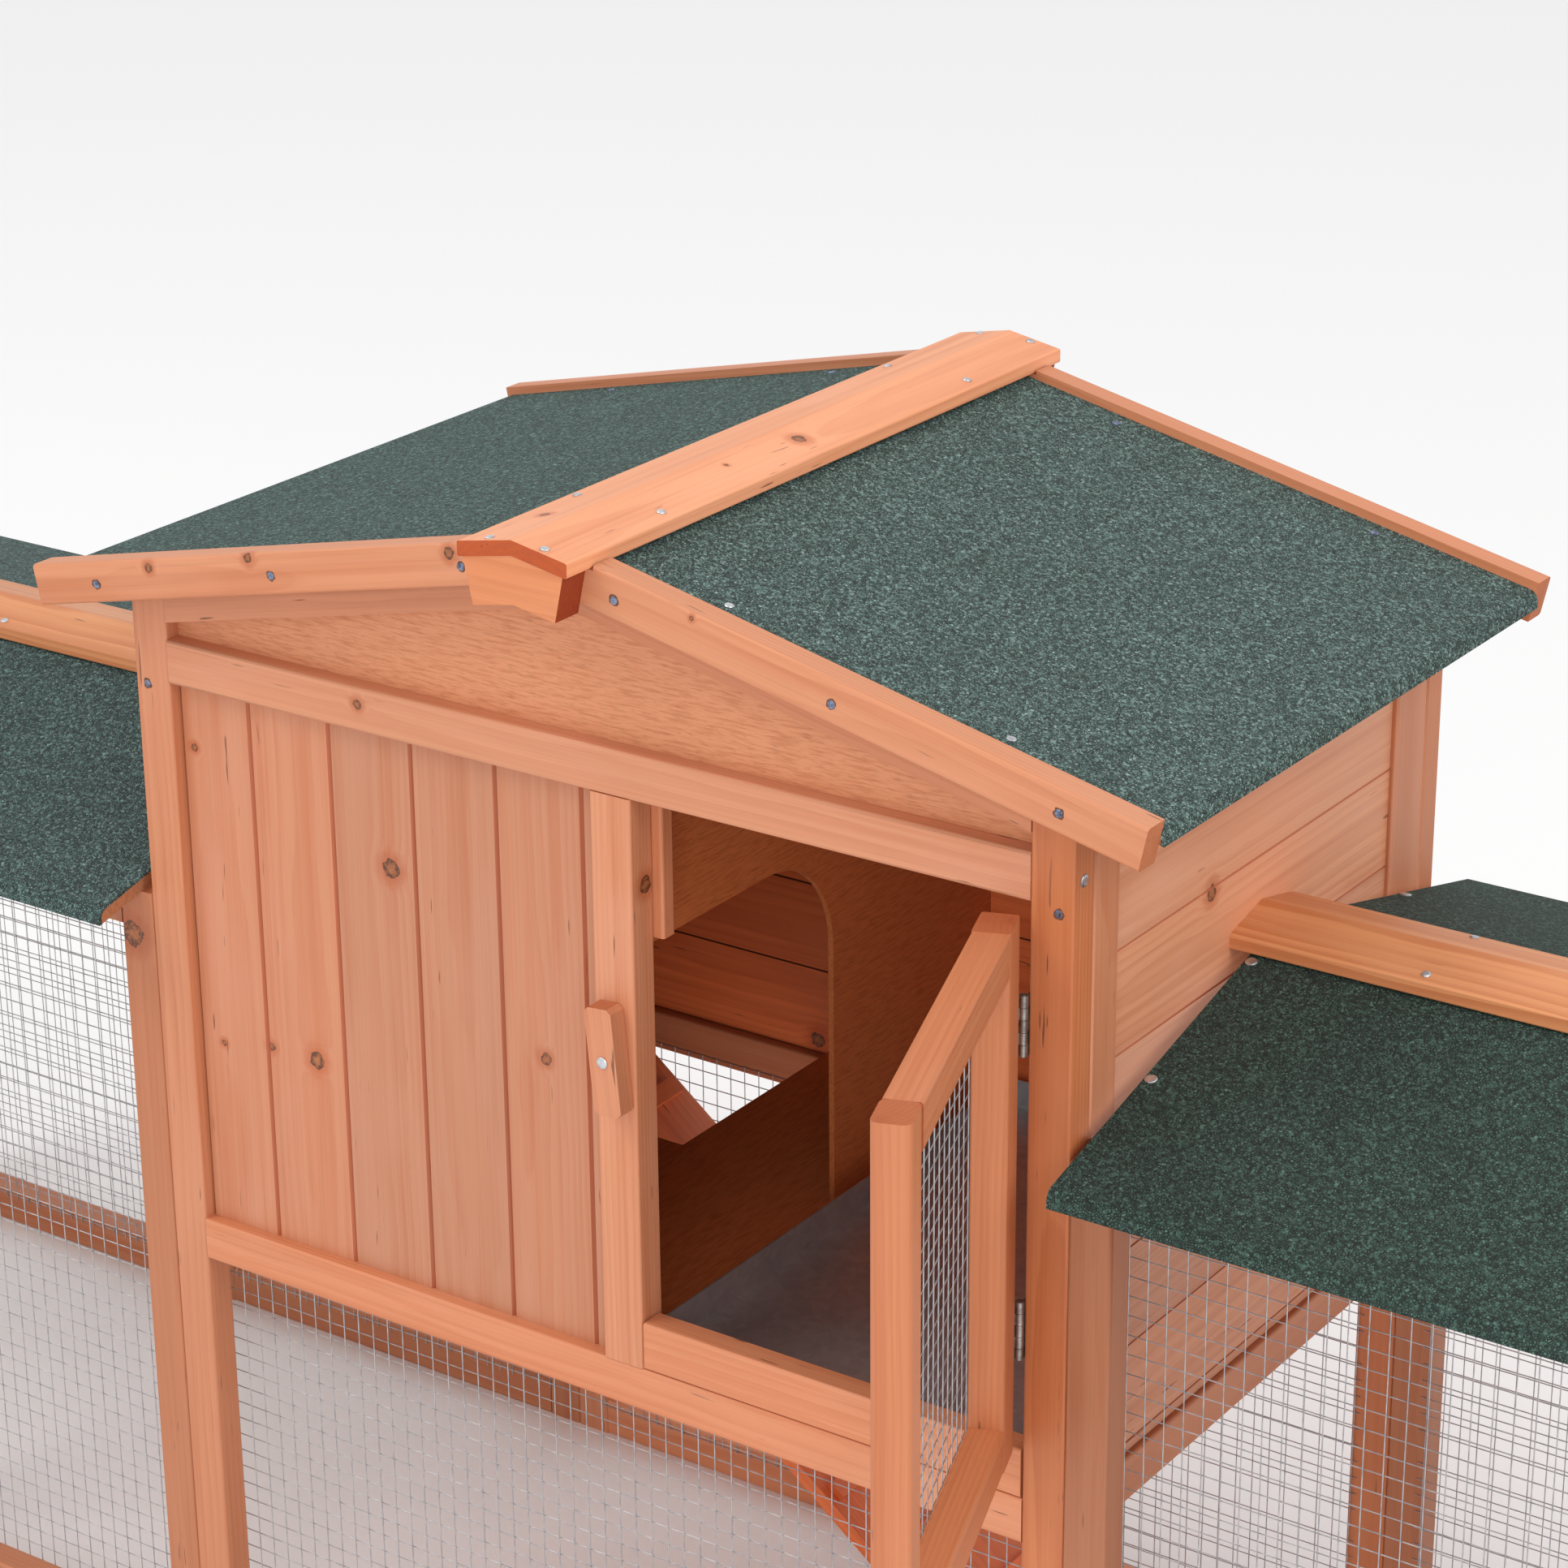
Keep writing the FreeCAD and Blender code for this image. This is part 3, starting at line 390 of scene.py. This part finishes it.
def solids_of(node):
    """A working copy of a node and its solids, with a number on every face."""
    work = bmesh.new()
    work.from_mesh(nodes[node].data)
    work.faces.ensure_lookup_table()
    number = work.faces.layers.int.new("solid")
    groups = closed_solids(work)
    for index, faces in enumerate(groups):
        for face in faces:
            face[number] = index
    for index in range(len(groups)):
        faces = [face for face in work.faces if face[number] == index]
        verts = once_each(vert for face in faces for vert in face.verts)
        bmesh.ops.remove_doubles(work, verts=verts, dist=SAME_CORNER)
    edges = [edge for edge in work.edges if len(edge.link_faces) == 2]
    verts = list(work.verts)
    bmesh.ops.dissolve_limit(work, angle_limit=SAME_PLANE, verts=verts, edges=edges)
    return work, number, len(groups)


# %% Boards with a log of their own
LOG_LENGTH = 40.0  # metres, long enough that no two boards share a stretch
HEART_ASIDE = 25  # most, in mm, from the board's middle line
HEART_DEEP = (28, 85)  # in mm, from the board's middle
ALONG_GRAIN = 0.3  # a side face's normal leans less than this towards the grain
END_FACE = 0.8  # an end face's normal, more than this
CHAMFER = (0.5, 0.9)  # a chamfer's normal leans this much towards the bark


def board_axes(faces, grain):
    """Along the grain, across it, and towards the bark."""
    edges = once_each(edge for face in faces for edge in face.edges)
    longest = max(edges, key=lambda edge: edge.calc_length())
    along = grain or (longest.verts[1].co - longest.verts[0].co).normalized()
    side_faces = [face for face in faces if abs(face.normal.dot(along)) < ALONG_GRAIN]
    deep = max(side_faces, key=lambda face: face.calc_area()).normal.copy()
    deep = (deep - along * deep.dot(along)).normalized()
    return along, deep.cross(along).normalized(), deep


def boards(node, material, grain=None, grooved=False):
    """The node's own shape as a wooden piece, each of its boards cut from its own log."""
    work, number, count = solids_of(node)
    place = work.verts.layers.float_vector.new("log_place")
    mark = work.verts.layers.float.new("board_mark")
    end_grain = work.faces.layers.float.new("end_grain")
    groove = work.faces.layers.float.new("groove")
    luck = random.Random(node)
    for index in range(count):
        faces = [face for face in work.faces if face[number] == index]
        if not faces:
            continue
        along, across, deep = board_axes(faces, grain)
        verts = once_each(vert for face in faces for vert in face.verts)
        middle = sum((vert.co for vert in verts), Vector()) / len(verts)
        start = luck.uniform(0.0, LOG_LENGTH)
        aside = luck.uniform(-HEART_ASIDE, HEART_ASIDE) * MM
        heart = luck.uniform(*HEART_DEEP) * MM
        tone = luck.random()
        for vert in verts:
            offset = vert.co - middle
            vert[place] = (offset.dot(along) + start, offset.dot(across) + aside,
                           offset.dot(deep) + heart)
            vert[mark] = tone
        for face in faces:
            lean = abs(face.normal.dot(deep))
            face[end_grain] = float(abs(face.normal.dot(along)) > END_FACE)
            face[groove] = float(grooved and CHAMFER[0] < lean < CHAMFER[1])
    dressed(work, node, "wood_" + node, material)


def dressed(work, node, name, material):
    """Turn a working mesh into a finished piece that stands for a node."""
    mesh = bpy.data.meshes.new(name)
    work.to_mesh(mesh)
    work.free()
    mesh.materials.append(material)
    piece = bpy.data.objects.new(name, mesh)
    bpy.context.scene.collection.objects.link(piece)
    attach(piece, nodes[node]["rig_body"])
    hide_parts(node)
    print(name, "has", len(mesh.polygons), "faces")
    return piece


# %% The house's timbers
plank_knots = (
    ((-0.1504, -0.2205, 0.6713), 6.5 * MM), ((-0.3112, -0.2205, 0.7192), 2.8 * MM),
    ((-0.2210, -0.2205, 0.5203), 6.0 * MM), ((-0.0316, -0.2205, 0.5710), 4.0 * MM),
    ((-0.2600, -0.2205, 0.5201), 3.2 * MM), ((-0.3017, -0.2205, 0.5122), 2.4 * MM),
)
wall_knots = (((0.346, -0.0637, 0.7157), 5.5 * MM), ((-0.346, 0.0637, 0.6157), 5.5 * MM))
frame_knots = (
    ((-0.1638, -0.2295, 0.7814), 3.4 * MM), ((0.0445, -0.2156, 0.7044), 5.5 * MM),
    ((0.3500, -0.1250, 0.6900), 3.0 * MM),
)
barge_knots = (
    ((-0.2242, -0.2548, 0.8723), 3.4 * MM), ((-0.3079, -0.2548, 0.8508), 3.2 * MM),
    ((-0.0648, -0.2548, 0.9041), 3.8 * MM), ((0.1109, -0.2548, 0.8970), 1.6 * MM),
)
plank_pine = pine("front_plank_pine", (0.510, 0.212, 0.114), LATE, knots=0.5,
                  own_knots=plank_knots)
wall_pine = pine("side_plank_pine", (0.650, 0.300, 0.170), LATE, knots=0.5,
                 own_knots=wall_knots)
frame_pine = pine("front_frame_pine", (0.595, 0.250, 0.131), LATE, knots=0.5,
                  own_knots=frame_knots)
barge_pine = pine("barge_pine", (0.605, 0.243, 0.117), LATE, knots=0.4,
                  own_knots=barge_knots)
house_timbers = {
    "front_stile_left": outdoor_pine, "back_stile_left": outdoor_pine,
    "front_bottom_rail": outdoor_pine, "back_rails": outdoor_pine,
    "base_rails": outdoor_pine, "door_stop": outdoor_pine,
    "side_frame_left": outdoor_pine, "side_frame_right": outdoor_pine,
    "gable_rafters": outdoor_pine, "roof_purlins": outdoor_pine,
    "barge_boards_back": outdoor_pine, "turn_button": outdoor_pine,
    "front_stile_right": ruddy_pine, "door_frame": door_pine,
    "back_stile_right": door_pine, "front_planks": plank_pine,
    "front_top_rail": frame_pine, "mullion": frame_pine,
    "barge_boards_front": barge_pine, "side_planks_left": wall_pine,
    "side_planks_right": wall_pine, "back_planks": inner_pine,
    "ridge_cap": cap_pine, "keystones": keystone_pine, "tray_front": outdoor_pine,
}
set_grain = {"keystones": Vector((1, 0, 0))}  # too square for the longest edge to tell
for node, wood in house_timbers.items():
    boards(node, wood, grain=set_grain.get(node), grooved="planks" in node)

# %% The runs' timbers
for side in ("left", "right"):
    boards("run_frame_" + side, run_pine)
    boards("run_door_frame_" + side, outdoor_pine)
    boards("run_turn_button_" + side, outdoor_pine)
boards("run_ridge_caps", run_cap_pine)
for node in ("run_barge_boards", "run_ridge_beams"):
    boards(node, outdoor_pine)
for node in ("ramp_board", "ramp_cleat"):
    boards(node, inner_pine)


# %% [markdown]
# ## Plywood
# The gables, the boards under the felt, the floors and the wall between the rooms are thin
# plywood. Its face is peeled from the log like paper from a roll, so it shows short, fine,
# broken streaks and no rings. The same noises as pine's serve, with other counts.


# %% Plywood finish and panels
PLY_RELIEF = 0.12 * MM


def plywood(name, light, dark):
    """Peeled veneer of one light and one dark colour."""
    f = Finish(name)
    log = f.parts_of(f.attribute("log_place", "Vector"))
    end = f.attribute("end_grain", "Fac")
    short = f.drawn_out(log, 55.0, 520.0, 3.0)
    dashes = f.drawn_out(log, 130.0, 1300.0, 1.0)
    cloud = f.drawn_out(log, 6.0, 14.0, 3.0)
    colour = f.mix(short.between(0.42, 0.68) * 0.42 + cloud * 0.1, rgb(*light), rgb(*dark))
    shade = (1.0 - dashes.between(0.54, 0.66) * 0.16) * (cloud * 0.2 + 0.9) * (1.0 - end * 0.12)
    height = short * 0.5 + dashes * 0.5
    return f.done(f.shaded(colour, shade), 0.55 + short * 0.15, height, PLY_RELIEF)


gable_ply = plywood("gable_plywood", (0.63, 0.260, 0.124), (0.40, 0.112, 0.034))
roof_ply = plywood("roof_plywood", (0.46, 0.180, 0.080), (0.22, 0.065, 0.024))
inner_ply = plywood("inner_plywood", (0.645, 0.184, 0.052), (0.385, 0.078, 0.016))
panels = {
    "gable_panels": gable_ply, "run_gables": gable_ply,
    "roof_boards": roof_ply, "run_roof_boards": roof_ply,
    "floor_left": inner_ply, "floor_right": inner_ply, "divider_panel": inner_ply,
}
for node, sheet in panels.items():
    boards(node, sheet)


# %% [markdown]
# ## Roofing felt
# The felt is a green-grey mat pressed full of mineral grit. Up close it is a field of small
# stones, some pale and some nearly black, each catching the light, so cells of about two
# millimetres carry the stones and a finer noise breaks them up. The brightest stones are pale
# grit with a painted glint. Each slope carries painted shade of its own, as the lamps alone don't
# give the four sheets their different darkness.


# %% Felt finish
STONES_PER_METRE = 560.0
STONE_STRAY = (1.6 * MM, -1.2 * MM, 1.0 * MM)  # how far a stone's outline is bent
STONE_HEIGHT = 0.9 * MM
DARK_STONE, PALE_STONE = (0.034, 0.070, 0.060), (0.195, 0.290, 0.258)
# The bright stone is pale grit with a painted glint.
BRIGHT_STONE_AND_GLINT, TAR = (0.33, 0.44, 0.41), (0.004, 0.010, 0.008)


def roofing_felt(name, painted_shade):
    """Felt whose stones are all dimmed by painted shade, one share each of red, green and blue.
    """
    f = Finish(name)
    place = f.place()
    warp = f.noise(place, 500.0)
    shift = f.vector(*(warp * stray for stray in STONE_STRAY))
    bent = f.node("ShaderNodeVectorMath", {"operation": "ADD"}, {0: place, 1: shift})
    lot, other, third = f.parts_of(f.cells(bent, STONES_PER_METRE, "Color"))
    edge = f.cells(bent, STONES_PER_METRE, feature="DISTANCE_TO_EDGE")
    dust = f.noise(place, 1500.0)
    drift = f.noise(place, 14.0, 4.0)
    base = f.mix(lot, rgb(*DARK_STONE), rgb(*PALE_STONE))
    # a few stones brightened: pale grit with a painted glint
    base = f.mix(third.between(0.88, 0.98) * 0.6, base, rgb(*BRIGHT_STONE_AND_GLINT))
    gaps = (1.0 - edge.between(0.04, 0.36)) * other.between(0.05, 0.5)
    colour = f.mix(gaps * 0.95, base, rgb(*TAR))
    shade = (drift * 0.3 + 0.85) * (dust * 0.3 + 0.85)
    # painted shade: the slope's own darkness in red, green and blue
    colour = f.shaded(colour, *(shade * share for share in painted_shade))
    height = edge.between(0.0, 0.28) * (lot * 0.8 + 0.2) + dust * 0.3
    return f.done(colour, 0.80 + dust * 0.12, height, STONE_HEIGHT)


# %% The four felts
def give(node, material):
    """Change the finish of a frame node that keeps its own shape."""
    for slot in nodes[node].material_slots:
        slot.material = material
    print(node, "wears", material.name)


# Painted shade for each felt, in red, green and blue: the house's left slope and the run beside
# its right wall are darker, as if lit less.
painted_felt_shades = {
    "roof_felt_right": (1.02, 1.05, 1.06), "roof_felt_left": (0.70, 0.84, 0.84),
    "run_roof_felts_right": (0.36, 0.50, 0.44), "run_roof_felts_left": (0.78, 0.88, 0.92),
}
for node, painted_shade in painted_felt_shades.items():
    give(node, roofing_felt(node + "_felt", painted_shade))


# %% [markdown]
# ## Zinc, wire and the tray
# The screws are bright zinc-plated steel and the hinges plain steel, a shade darker. The wire
# and the tray are galvanised and duller; the tray shows the cloudy crystals of hot dipping. All
# are the same cloudy mixture of two greys, so one function makes them, with its own numbers for
# each.


# %% Metal finishes
CRYSTALS_PER_METRE = 160.0
SCRATCH_DEPTH = 0.05 * MM


def metal(name, light, dark, rough, grain, spangle=0.0, metallic=0.9):
    """Clouds of two colours, grain to the metre; spangle is the crystals' share."""
    f = Finish(name)
    place = f.place()
    cloud = f.noise(place, grain, 4.0)
    scratch = f.noise(place, grain * 9.0, 3.0)
    crystals = f.parts_of(f.cells(place, CRYSTALS_PER_METRE, "Color"))[0]
    share = cloud.between(0.3, 0.75) * (1.0 - spangle) + crystals * spangle
    colour = f.mix(share, rgb(*light), rgb(*dark))
    roughness = rough + cloud * 0.18 + scratch * 0.1
    return f.done(colour, roughness, scratch, SCRATCH_DEPTH, Metallic=metallic)


zinc = metal("bright_zinc", (0.62, 0.63, 0.65), (0.34, 0.35, 0.38), 0.24, 150.0)
hinge_steel = metal("hinge_steel", (0.44, 0.42, 0.40), (0.20, 0.18, 0.17), 0.20, 150.0)
galvanised = metal("galvanised_wire", (0.52, 0.52, 0.53), (0.33, 0.33, 0.35), 0.40, 120.0)
tray_steel = metal("galvanised_tray", (0.60, 0.61, 0.62), (0.44, 0.45, 0.47), 0.34, 20.0, 0.5)
hinge_nodes = ("door_hinge_leaves", "hinge_frame_leaves", "ramp_hinge_leaves",
               "run_door_leaves_left", "run_door_leaves_right")
for node in hinge_nodes:
    give(node, hinge_steel)
give("tray_pan", tray_steel)

# %% [markdown]
# ## Welded wire
# The frame has a thin sheet where each panel of wire is. The real thing is two layers of
# straight wires a half-inch apart, one layer lying on the other and welded where they cross.
# A wire is a five-sided rod: it is repeated hundreds of times, so it has very few faces.

# %% Weaving a panel
WIRE_PITCH = 12.7 * MM
WIRE_THICK = 0.80 * MM
WIRE_SIDES = 5
LAYER = 0.48  # of the wire's thickness: a hair under half, so that the two layers bite


def rod(work, start, end):
    """A straight wire between two points."""
    run = end - start
    turn = run.to_track_quat("Z", "Y").to_matrix().to_4x4()
    place = Matrix.Translation((start + end) / 2) @ turn
    bmesh.ops.create_cone(work, cap_ends=True, segments=WIRE_SIDES, radius1=WIRE_THICK / 2,
                          radius2=WIRE_THICK / 2, depth=run.length, matrix=place)


def wire_panel(work, low, high):
    """Two layers of wires that fill the box of a thin sheet."""
    size = high - low
    thin = min(range(3), key=lambda axis: size[axis])
    first, second = [axis for axis in range(3) if axis != thin]
    middle = (low + high) / 2
    for run, step, layer in ((first, second, LAYER), (second, first, -LAYER)):
        count = int((size[step] - WIRE_THICK) / WIRE_PITCH)
        spare = (size[step] - count * WIRE_PITCH) / 2
        for index in range(count + 1):
            start = low.copy()
            start[step] = low[step] + spare + index * WIRE_PITCH
            start[thin] = middle[thin] + layer * WIRE_THICK
            end = start.copy()
            end[run] = high[run]
            rod(work, start, end)


def sheet_boxes(node, unturn=None):
    """The corners of every solid of a node, after an optional turn."""
    work, number, count = solids_of(node)
    if unturn:
        bmesh.ops.transform(work, matrix=unturn, verts=list(work.verts))
    found = []
    for index in range(count):
        points = [vert.co for face in work.faces if face[number] == index for vert in face.verts]
        low = Vector([min(point[axis] for point in points) for axis in range(3)])
        high = Vector([max(point[axis] for point in points) for axis in range(3)])
        found.append((low, high))
    work.free()
    return found


def woven(node, unturn=None):
    """Wire in the place of a node's sheets. A sheet that stands at an angle is turned square
    first, and its wires are turned back."""
    work = bmesh.new()
    for low, high in sheet_boxes(node, unturn):
        wire_panel(work, low, high)
    if unturn:
        bmesh.ops.transform(work, matrix=unturn.inverted(), verts=list(work.verts))
    dressed(work, node, "wire_" + node, galvanised)


# %% Every wire panel
door_joint = joints["door_hinge"]
pin = Matrix.Translation(Vector(door_joint["pos_m"]))
closing = Matrix.Rotation(math.radians(door_joint["range_deg"][0]), 4, Vector(door_joint["axis"]))
woven("door_mesh", pin @ closing @ pin.inverted())
for node in ("run_mesh", "lower_mesh", "run_door_mesh_left", "run_door_mesh_right"):
    woven(node)

# %% [markdown]
# ## Screws
# The frame's screw heads are plain discs. A real one is a low dome with a cross cut into it
# for the driver. The cross comes from a twelve-cornered cap: the inner ring's diagonal
# corners are pulled in to the middle, which leaves four arms, and the cap is pushed down.
# Screws driven into the front and back sink below the face and tear the wood round them; the
# dark rim round each is that torn wood with painted shadow of the hole.


# %% What the heads are made of
# The rim round a sunk head is torn wood darkened by painted shadow of the hole. It shows the
# same clouds as metal does, in two browns, so metal() serves for it too.
# A dark blue zinc: the sunk heads' own blue, made dark as painted shade in their holes, in the
# crosses and on the felt's back row.
dull_and_shaded_zinc = metal("dull_and_shaded_zinc", (0.26, 0.31, 0.44), (0.07, 0.08, 0.11), 0.35, 500.0)
torn_wood_and_shadow = metal("torn_wood_and_shadow", (0.20, 0.07, 0.03), (0.09, 0.03, 0.014), 0.7, 500.0,
                  metallic=0.0)
DULL_AND_SHADED, RIM = 1, 2  # their places in a piece's list of materials, after the bright zinc


# %% The shape of one head
HEAD_CORNERS = 12
DOME_STEPS = ((0.0, 0.45), (0.12, 0.33), (0.22, 0.18))  # pulled in by, raised by
CROSS_RIM = 0.10
CROSS_INNER = 0.36  # how far the diagonal corners are pulled in
CROSS_ARM = 0.85  # and how much the arms narrow
CROSS_DEPTH = 0.8
CROSS_TAPER = 0.75
ON_DIAGONAL = 0.05  # x and y nearer each other than this


def pushed(work, face, rise, grow):
    """Extrude a face, raise it and scale it. Returns the moved face."""
    grown = bmesh.ops.extrude_face_region(work, geom=[face])
    face = next(item for item in grown["geom"] if isinstance(item, bmesh.types.BMFace))
    bmesh.ops.translate(work, verts=list(face.verts), vec=(0, 0, rise))
    bmesh.ops.scale(work, verts=list(face.verts), vec=(grow, grow, 1))
    return face


def head_shape():
    """A screw head of radius 1 and height 1, ready to be copied."""
    work = bmesh.new()
    start = Matrix.Rotation(math.radians(180 / HEAD_CORNERS), 4, "Z")
    bmesh.ops.create_circle(work, cap_ends=True, radius=1.0, segments=HEAD_CORNERS, matrix=start)
    face = work.faces[:][0]
    for inset, rise in DOME_STEPS:
        face = pushed(work, face, rise, 1 - inset)
    bmesh.ops.inset_individual(work, faces=[face], thickness=CROSS_RIM, use_even_offset=True)
    for vert in face.verts:
        if abs(abs(vert.co.x) - abs(vert.co.y)) < ON_DIAGONAL:
            vert.co.x *= CROSS_INNER
            vert.co.y *= CROSS_INNER
        elif abs(vert.co.x) < abs(vert.co.y):
            vert.co.x *= CROSS_ARM
        else:
            vert.co.y *= CROSS_ARM
    face = pushed(work, face, -CROSS_DEPTH, CROSS_TAPER)
    # the cross's faces wear the dark zinc: painted shade in the recess
    for cut in [face] + [side for edge in face.edges for side in edge.link_faces]:
        cut.material_index = DULL_AND_SHADED
    bmesh.ops.recalc_face_normals(work, faces=work.faces[:])
    return work


# %% The dark rim of a screw driven below the face: torn wood and painted shadow
RIM_RADIUS, RIM_CORNERS, RIM_HIGH = 3.3 * MM, 14, 0.08 * MM
RAGGED = (0.86, 1.22)  # least and most of the rim's radius


def torn_and_shaded_rim(work, place, luck):
    """A thin disc with a ragged edge round a sunk head, stained as torn wood and darkened as
    painted shadow.
    """
    ring = bmesh.ops.create_circle(work, cap_ends=True, radius=RIM_RADIUS,
                                   segments=RIM_CORNERS)
    for vert in ring["verts"]:
        vert.co *= luck.uniform(*RAGGED)
    disc = ring["verts"][0].link_faces[0]
    grown = bmesh.ops.extrude_face_region(work, geom=[disc])
    top = [item for item in grown["geom"] if isinstance(item, bmesh.types.BMVert)]
    bmesh.ops.translate(work, verts=top, vec=(0, 0, RIM_HIGH))
    verts = ring["verts"] + top
    faces = once_each(face for vert in verts for face in vert.link_faces)
    bmesh.ops.recalc_face_normals(work, faces=faces)
    bmesh.ops.transform(work, matrix=place, verts=verts)
    for face in faces:
        face.material_index = RIM


# %% Where a head lies
HEAD_RADIUS, HEAD_HIGH = 3.9 * MM, 1.2 * MM
SMALL_RADIUS = 3.0 * MM
SUNK_RADIUS, SUNK_HIGH = 2.6 * MM, 0.4 * MM
HUTCH_MIDDLE = Vector((0.0, 0.0, 0.45))
ROUND_END = 6  # a round end has more corners than this
LOOKS_AHEAD = 0.9  # a head whose axis leans more than this looks to the front or the back


def seat_of(faces, long_shank):
    """Where a head lies and which way it looks: away from the middle of the hutch."""
    if long_shank:
        flats = [face for face in faces if len(face.verts) > ROUND_END]
    else:
        flats = sorted(faces, key=lambda face: face.calc_area(), reverse=True)[:2]
    centre = sum((face.calc_center_median() for face in flats), Vector()) / len(flats)
    outwards = centre - HUTCH_MIDDLE
    top = max(flats, key=lambda face: face.normal.dot(outwards))
    return top.calc_center_median() - top.normal * HEAD_HIGH, top.normal.copy()


def is_on(point, covers):
    """Whether a point is in the box of any of some nodes, give or take a millimetre."""
    boxes = [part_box(cover) for cover in covers]
    return any(all(low[axis] - MM <= point[axis] <= high[axis] + MM for axis in range(3))
               for low, high in boxes)


# %% Placing the screws
def screw_heads(node, long_shank=False):
    """A cross-head for every screw of a node. Those that look to the front or back of the
    house are sunk into the wood: smaller, in a dark blue zinc darkened as painted shade, with a
    rim of torn wood and painted shadow. Those through the caps and the house's felt are small,
    and the felt's back row is darkened as painted shade."""
    frame_work, number, count = solids_of(node)
    pattern, shape = head_shape(), bpy.data.meshes.new("head_shape")
    pattern.to_mesh(shape)
    pattern.free()
    work = bmesh.new()
    luck = random.Random(node)
    for index in range(count):
        faces = [face for face in frame_work.faces if face[number] == index]
        seat, axis = seat_of(faces, long_shank)
        sunk = abs(axis.y) > LOOKS_AHEAD and not long_shank
        radius, high = (SUNK_RADIUS, SUNK_HIGH) if sunk else (HEAD_RADIUS, HEAD_HIGH)
        on_cap = is_on(seat, ("ridge_cap", "run_ridge_caps"))
        on_felt = is_on(seat, ("roof_felt_left", "roof_felt_right"))
        # the back row on the house's felt is darkened as painted shade
        shaded_back_row = on_felt and not on_cap and seat.y > 0.0
        if (on_cap or on_felt) and not sunk:
            radius = SMALL_RADIUS
        turn = axis.to_track_quat("Z", "Y").to_matrix().to_4x4()
        spin = Matrix.Rotation(luck.uniform(0, math.pi / 2), 4, "Z")
        place = Matrix.Translation(seat) @ turn @ spin
        if sunk:
            torn_and_shaded_rim(work, place, luck)
        old_verts, old_faces = len(work.verts), len(work.faces)
        work.from_mesh(shape)
        work.verts.ensure_lookup_table()
        work.faces.ensure_lookup_table()
        grow = Matrix.Diagonal((radius, radius, high, 1.0))
        bmesh.ops.transform(work, matrix=place @ grow, verts=work.verts[old_verts:])
        # painted shade: a sunk head and the felt's back row wear the dark zinc
        if sunk or shaded_back_row:
            for face in work.faces[old_faces:]:
                face.material_index = DULL_AND_SHADED
    frame_work.free()
    bpy.data.meshes.remove(shape)
    piece = dressed(work, node, "heads_" + node, zinc)
    piece.data.materials.append(dull_and_shaded_zinc)
    piece.data.materials.append(torn_wood_and_shadow)


screw_heads("screws")
screw_heads("button_screws", long_shank=True)

# %% [markdown]
# ## Ground, light and camera
# The hutch stands on a plain pale floor in a soft studio: a bright even sky and three large
# lamps. One hangs high on the left of the front, one stands low on the right of the front, and
# the strongest fills the right side, so that the timbers' shaded sides stay open.

# %% Ground
FLOOR_SIZE = 14.0
FLOOR_GREY = 0.86
floor_shape = bmesh.new()
bmesh.ops.create_grid(floor_shape, x_segments=1, y_segments=1, size=FLOOR_SIZE)
floor_mesh = bpy.data.meshes.new("studio_floor")
floor_shape.to_mesh(floor_mesh)
floor_shape.free()
studio_floor = bpy.data.objects.new("studio_floor", floor_mesh)
bpy.context.scene.collection.objects.link(studio_floor)
paint = Finish("studio_paint")
floor_mesh.materials.append(paint.done(rgb(FLOOR_GREY, FLOOR_GREY, FLOOR_GREY), 0.9))


# %% Lamps and sky
SKY_STRENGTH = 0.95


def lamp(name, place, target, size, power):
    """A square white lamp at a place, looking at a target, in metres and watts."""
    data = bpy.data.lights.new(name, "AREA")
    data.shape = "SQUARE"
    data.size = size
    data.energy = power
    thing = bpy.data.objects.new(name, data)
    thing.location = place
    direction = Vector(target) - Vector(place)
    thing.rotation_euler = direction.to_track_quat("-Z", "Y").to_euler()
    bpy.context.scene.collection.objects.link(thing)
    print("lamp", name, power, "W")


lamp("key", (-2.4, -2.6, 4.8), (0, 0, 0.5), 2.0, 70.0)
lamp("front", (2.0, -4.2, 1.6), (0, 0, 0.6), 2.4, 45.0)
lamp("fill", (4.8, -1.0, 3.8), (0, 0, 0.5), 2.6, 95.0)
sky = bpy.data.worlds.new("studio_sky")
sky.use_nodes = True
background = sky.node_tree.nodes["Background"]
background.inputs["Color"].default_value = rgb(1.0, 1.0, 1.0)
background.inputs["Strength"].default_value = SKY_STRENGTH
bpy.context.scene.world = sky
bpy.context.scene.view_settings.view_transform = "Standard"

# %% Camera
CAMERA_PLACE = (1.3961, -2.0169, 1.6533)
CAMERA_ROUND = math.radians(34.75267)
CAMERA_ABOVE = math.radians(21.46786)
CAMERA_ROLL = math.radians(-0.53393)
CAMERA_SENSOR, CAMERA_LENS = 36.0, 93.57
backwards = Vector((math.sin(CAMERA_ROUND) * math.cos(CAMERA_ABOVE),
                    -math.cos(CAMERA_ROUND) * math.cos(CAMERA_ABOVE), math.sin(CAMERA_ABOVE)))
rightwards = Vector((math.cos(CAMERA_ROUND), math.sin(CAMERA_ROUND), 0.0))
upwards = backwards.cross(rightwards)
rolled_right = rightwards * math.cos(CAMERA_ROLL) + upwards * math.sin(CAMERA_ROLL)
rolled_up = upwards * math.cos(CAMERA_ROLL) - rightwards * math.sin(CAMERA_ROLL)
camera_data = bpy.data.cameras.new("camera")
camera_data.sensor_width = CAMERA_SENSOR
camera_data.lens = CAMERA_LENS
camera = bpy.data.objects.new("camera", camera_data)
camera.matrix_world = Matrix.Translation(CAMERA_PLACE) @ Matrix(
    (rolled_right, rolled_up, backwards)).transposed().to_4x4()
bpy.context.scene.collection.objects.link(camera)
bpy.context.scene.camera = camera
print("camera at", CAMERA_PLACE)
